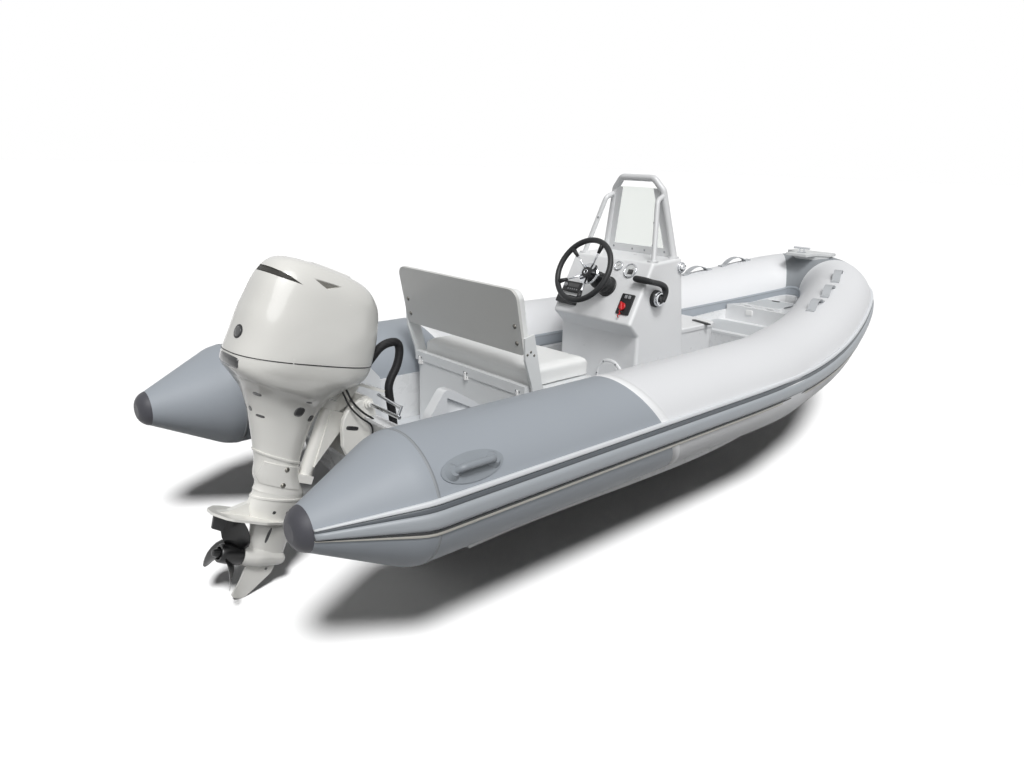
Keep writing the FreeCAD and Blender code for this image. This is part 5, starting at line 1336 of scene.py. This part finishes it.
scoop_rings = []
for step in range(97):
    turn = math.radians(scoop_turns[0] + (scoop_turns[1] - scoop_turns[0]) * step / 96)
    x = on_cowl(turn, scoop_floor, 0.0)[0]
    lift = post_lift if scoop_post[0] < x < scoop_post[1] else -scoop_inset
    heights = [scoop_floor + (roof_over(x) - scoop_floor) * share / 4 for share in range(5)]
    outer = [hung(*on_cowl(turn, height, lift), height) for height in heights]
    inner = [hung(*on_cowl(turn, height, lift - scoop_wall), height) for height in reversed(heights)]
    scoop_rings.append(outer + inner)
fitted(lofted("scoop_wall", scoop_rings), scoop_mesh, "motor")
# Painted shade: a flat grey panel darkens the hollow on each side of the roof.
inlet_grey = gelcoat("inlet_grey", (128, 126, 120), 0.4)
for side, end in ((1, "_port"), (-1, "_starboard")):
    inlet = Mount(hung(0, side * 0.1345, 0), motor_up, Vector((0, side, 0)))
    corners = [(-side * x, z) for x, z in ((-0.509, 0.7925), (-0.405, 0.7985), (-0.452, 0.7755))]
    if side > 0:
        corners.reverse()
    fitted(moulded("cowl_inlet" + end, inlet, corners, 0.0, 0.0025, 0.0008), inlet_grey, "motor")

# Rigging hose and cables: a ribbed black hose that carries the harness from the front of the cowl
# into the well ahead of the transom, and two thin cables down to the bracket.
hose_rubber = clouded("hose_rubber", (24, 24, 26), {"Specular IOR Level": 0.35},
                      (0.02, 2.0, 0.15), (0.45, 0.6, 0.01, 2.0))
hose_rubber.raised(hose_rubber.waves(0.006, "Z"), 0.0008)
rigging = (
    ("rigging_hose", 0.038, ((-0.035, 0, 0.500), (0.010, 0, 0.548), (0.070, 0, 0.604), (0.160, 0, 0.606),
                             (0.152, 0, 0.505), (0.092, 0, 0.420), (0.100, 0, 0.345), (0.118, 0, 0.240),
                             (0.118, 0, 0.110), (0.118, 0, 0.034))),
    ("shift_cable", 0.009, ((-0.185, -0.088, 0.500), (-0.168, -0.096, 0.455), (-0.145, -0.102, 0.400),
                            (-0.105, -0.127, 0.350), (-0.066, -0.134, 0.325), (-0.055, -0.134, 0.285),
                            (-0.060, -0.126, 0.250))),
    ("trim_cable", 0.008, ((-0.200, -0.080, 0.500), (-0.184, -0.094, 0.450), (-0.166, -0.104, 0.392),
                           (-0.126, -0.128, 0.338), (-0.082, -0.134, 0.306), (-0.072, -0.134, 0.268),
                           (-0.076, -0.126, 0.236))),
)

for name, thickness, points in rigging:
    hose = bar(name, points, thickness / 2)
    hose.data.materials.append(hose_rubber.material)
    places = [tuple(vertex.co) for vertex in traced(name + "_path", points, 0.0).vertices]
    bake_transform(hose)
fitted(skinned("clamp_slot", "clamp_bracket", (-0.150, -0.12, 0.290), (0, -1, 0), (0.3, 0, 1), 0.030, 0.009,
               0.0008, 4.0, 3, 24), dial_black, "boat")

# Leg trim: cooling slots, rubber grommets, the side cover's bolts and the water intake's slots,
# all on both sides of the leg.
leg_marks = (
    ("leg_slot_high", "midsection", (-0.548, 0.070, 0.308), (-0.6, 0.8, 0.1), 0.018, 0.0055),
    ("leg_slot_low", "midsection", (-0.500, 0.055, 0.226), (-0.6, 0.8, 0.1), 0.018, 0.0050),
    ("leg_hole", "midsection", (-0.533, 0.020, 0.242), (-1.0, 0.25, 0), 0.009, 0.009),
    ("leg_grommet_large", "midsection", (-0.363, 0.091, 0.281), (0, 1, 0.1), 0.022, 0.020),
    ("leg_grommet_small", "midsection", (-0.290, 0.063, 0.262), (0.2, 1, 0), 0.016, 0.015),
    ("leg_slot_front", "midsection", (-0.351, 0.116, 0.330), (0, 1, -0.3), 0.014, 0.0045),
    ("intake_slot", "gearcase", (-0.279, 0.035, -0.252), (0, 1, 0), 0.0065, 0.034),
    ("leg_dot_aft", "gearcase", (-0.296, 0.046, -0.150), (0, 1, 0), 0.007, 0.007),
    ("leg_dot_front", "gearcase", (-0.236, 0.044, -0.145), (0, 1, 0), 0.007, 0.007),
    ("leg_dot_low", "gearcase", (-0.222, 0.025, -0.404), (0, 1, 0), 0.006, 0.006),
)
for name, node, place, way, half_width, half_height in leg_marks:
    for side, end in ((1, "_port"), (-1, "_starboard")):
        mark = skinned(name + end, node, hung(place[0], side * place[1], place[2]),
                       hung_way(way[0], side * way[1], way[2]), motor_up, half_width, half_height,
                       0.0007, 2.6, 3, 24)
        fitted(mark, dial_black, "motor")
cover_spots = []
for side in (1, -1):
    for x, z in ((-0.312, 0.036), (-0.306, -0.030)):
        cover_spots.append(landed("midsection", hung(x, side * 0.3, z), hung_way(0, -side, 0)))
fasten("cover_bolts", cover_spots, 0.0075, 0.0045, "motor", bolt_steel)

# Propeller: three cast blades that twist from root to tip on an open hub, painted gloss black.
# It is right-handed: it turns clockwise, seen from astern, to drive ahead.
screw_paint = clouded("screw_paint", (14, 14, 15),
                      {"Specular IOR Level": 0.4, "Coat Weight": 0.1, "Coat Roughness": 0.2},
                      (0.03, 3.0, 0.15), (0.24, 0.36, 0.02, 3.0), (0.01, 2.0, 0.00006))
shaft_height = -0.354
hub_face_x = -0.355
hub_length = 0.092
blade_count = 3
blade_reach = 0.156
blade_rake = 0.12
blade_start = -10.0
screw_place = Mount(hung(hub_face_x, 0, shaft_height), motor_up, hung_way(-1, 0, 0))
blade_rows = ((0.036, 0.060, 58.0, 0.0085), (0.060, 0.104, 46.0, 0.0075), (0.085, 0.136, 37.0, 0.0062),
              (0.110, 0.146, 31.0, 0.0050), (0.132, 0.128, 28.0, 0.0040), (0.146, 0.090, 26.0, 0.0030),
              (0.1535, 0.048, 25.0, 0.0022), (blade_reach, 0.012, 25.0, 0.0012))


def blade(steps=14):
    """One blade over the z axis: rounded sections set across its radius."""
    rings = []
    for radius, chord, pitch, thickness in blade_rows:
        turn = math.radians(pitch)
        ring = []
        for step in range(2 * steps):
            share = step / steps if step <= steps else 2 - step / steps
            side = 1 if step <= steps else -1
            along = chord * (share - 0.5)
            swell = 0.5 * thickness * math.sin(math.pi * min(max(share, 0.02), 0.98)) * side
            wrap = along * math.cos(turn) / radius
            ring.append((radius * math.sin(wrap), radius * math.cos(wrap),
                         0.5 * hub_length - along * math.sin(turn) + swell * math.cos(turn)
                         + blade_rake * (radius - blade_rows[0][0])))
        rings.append(ring)
    return rings


blades = set_round("propeller_blades", blade(), screw_place, blade_count, blade_start, screw_paint,
                   "screw")
hub_outline = ((0.001, 0.030), (0.001, 0.042), (0.020, 0.0425), (0.060, 0.040), (0.088, 0.037),
               (0.092, 0.034), (0.092, 0.026), (0.078, 0.024), (0.078, 0.019), (0.100, 0.018),
               (0.117, 0.013), (0.119, 0.001))
lathed("propeller_hub", screw_place, hub_outline, screw_paint, "screw", ["propeller"])
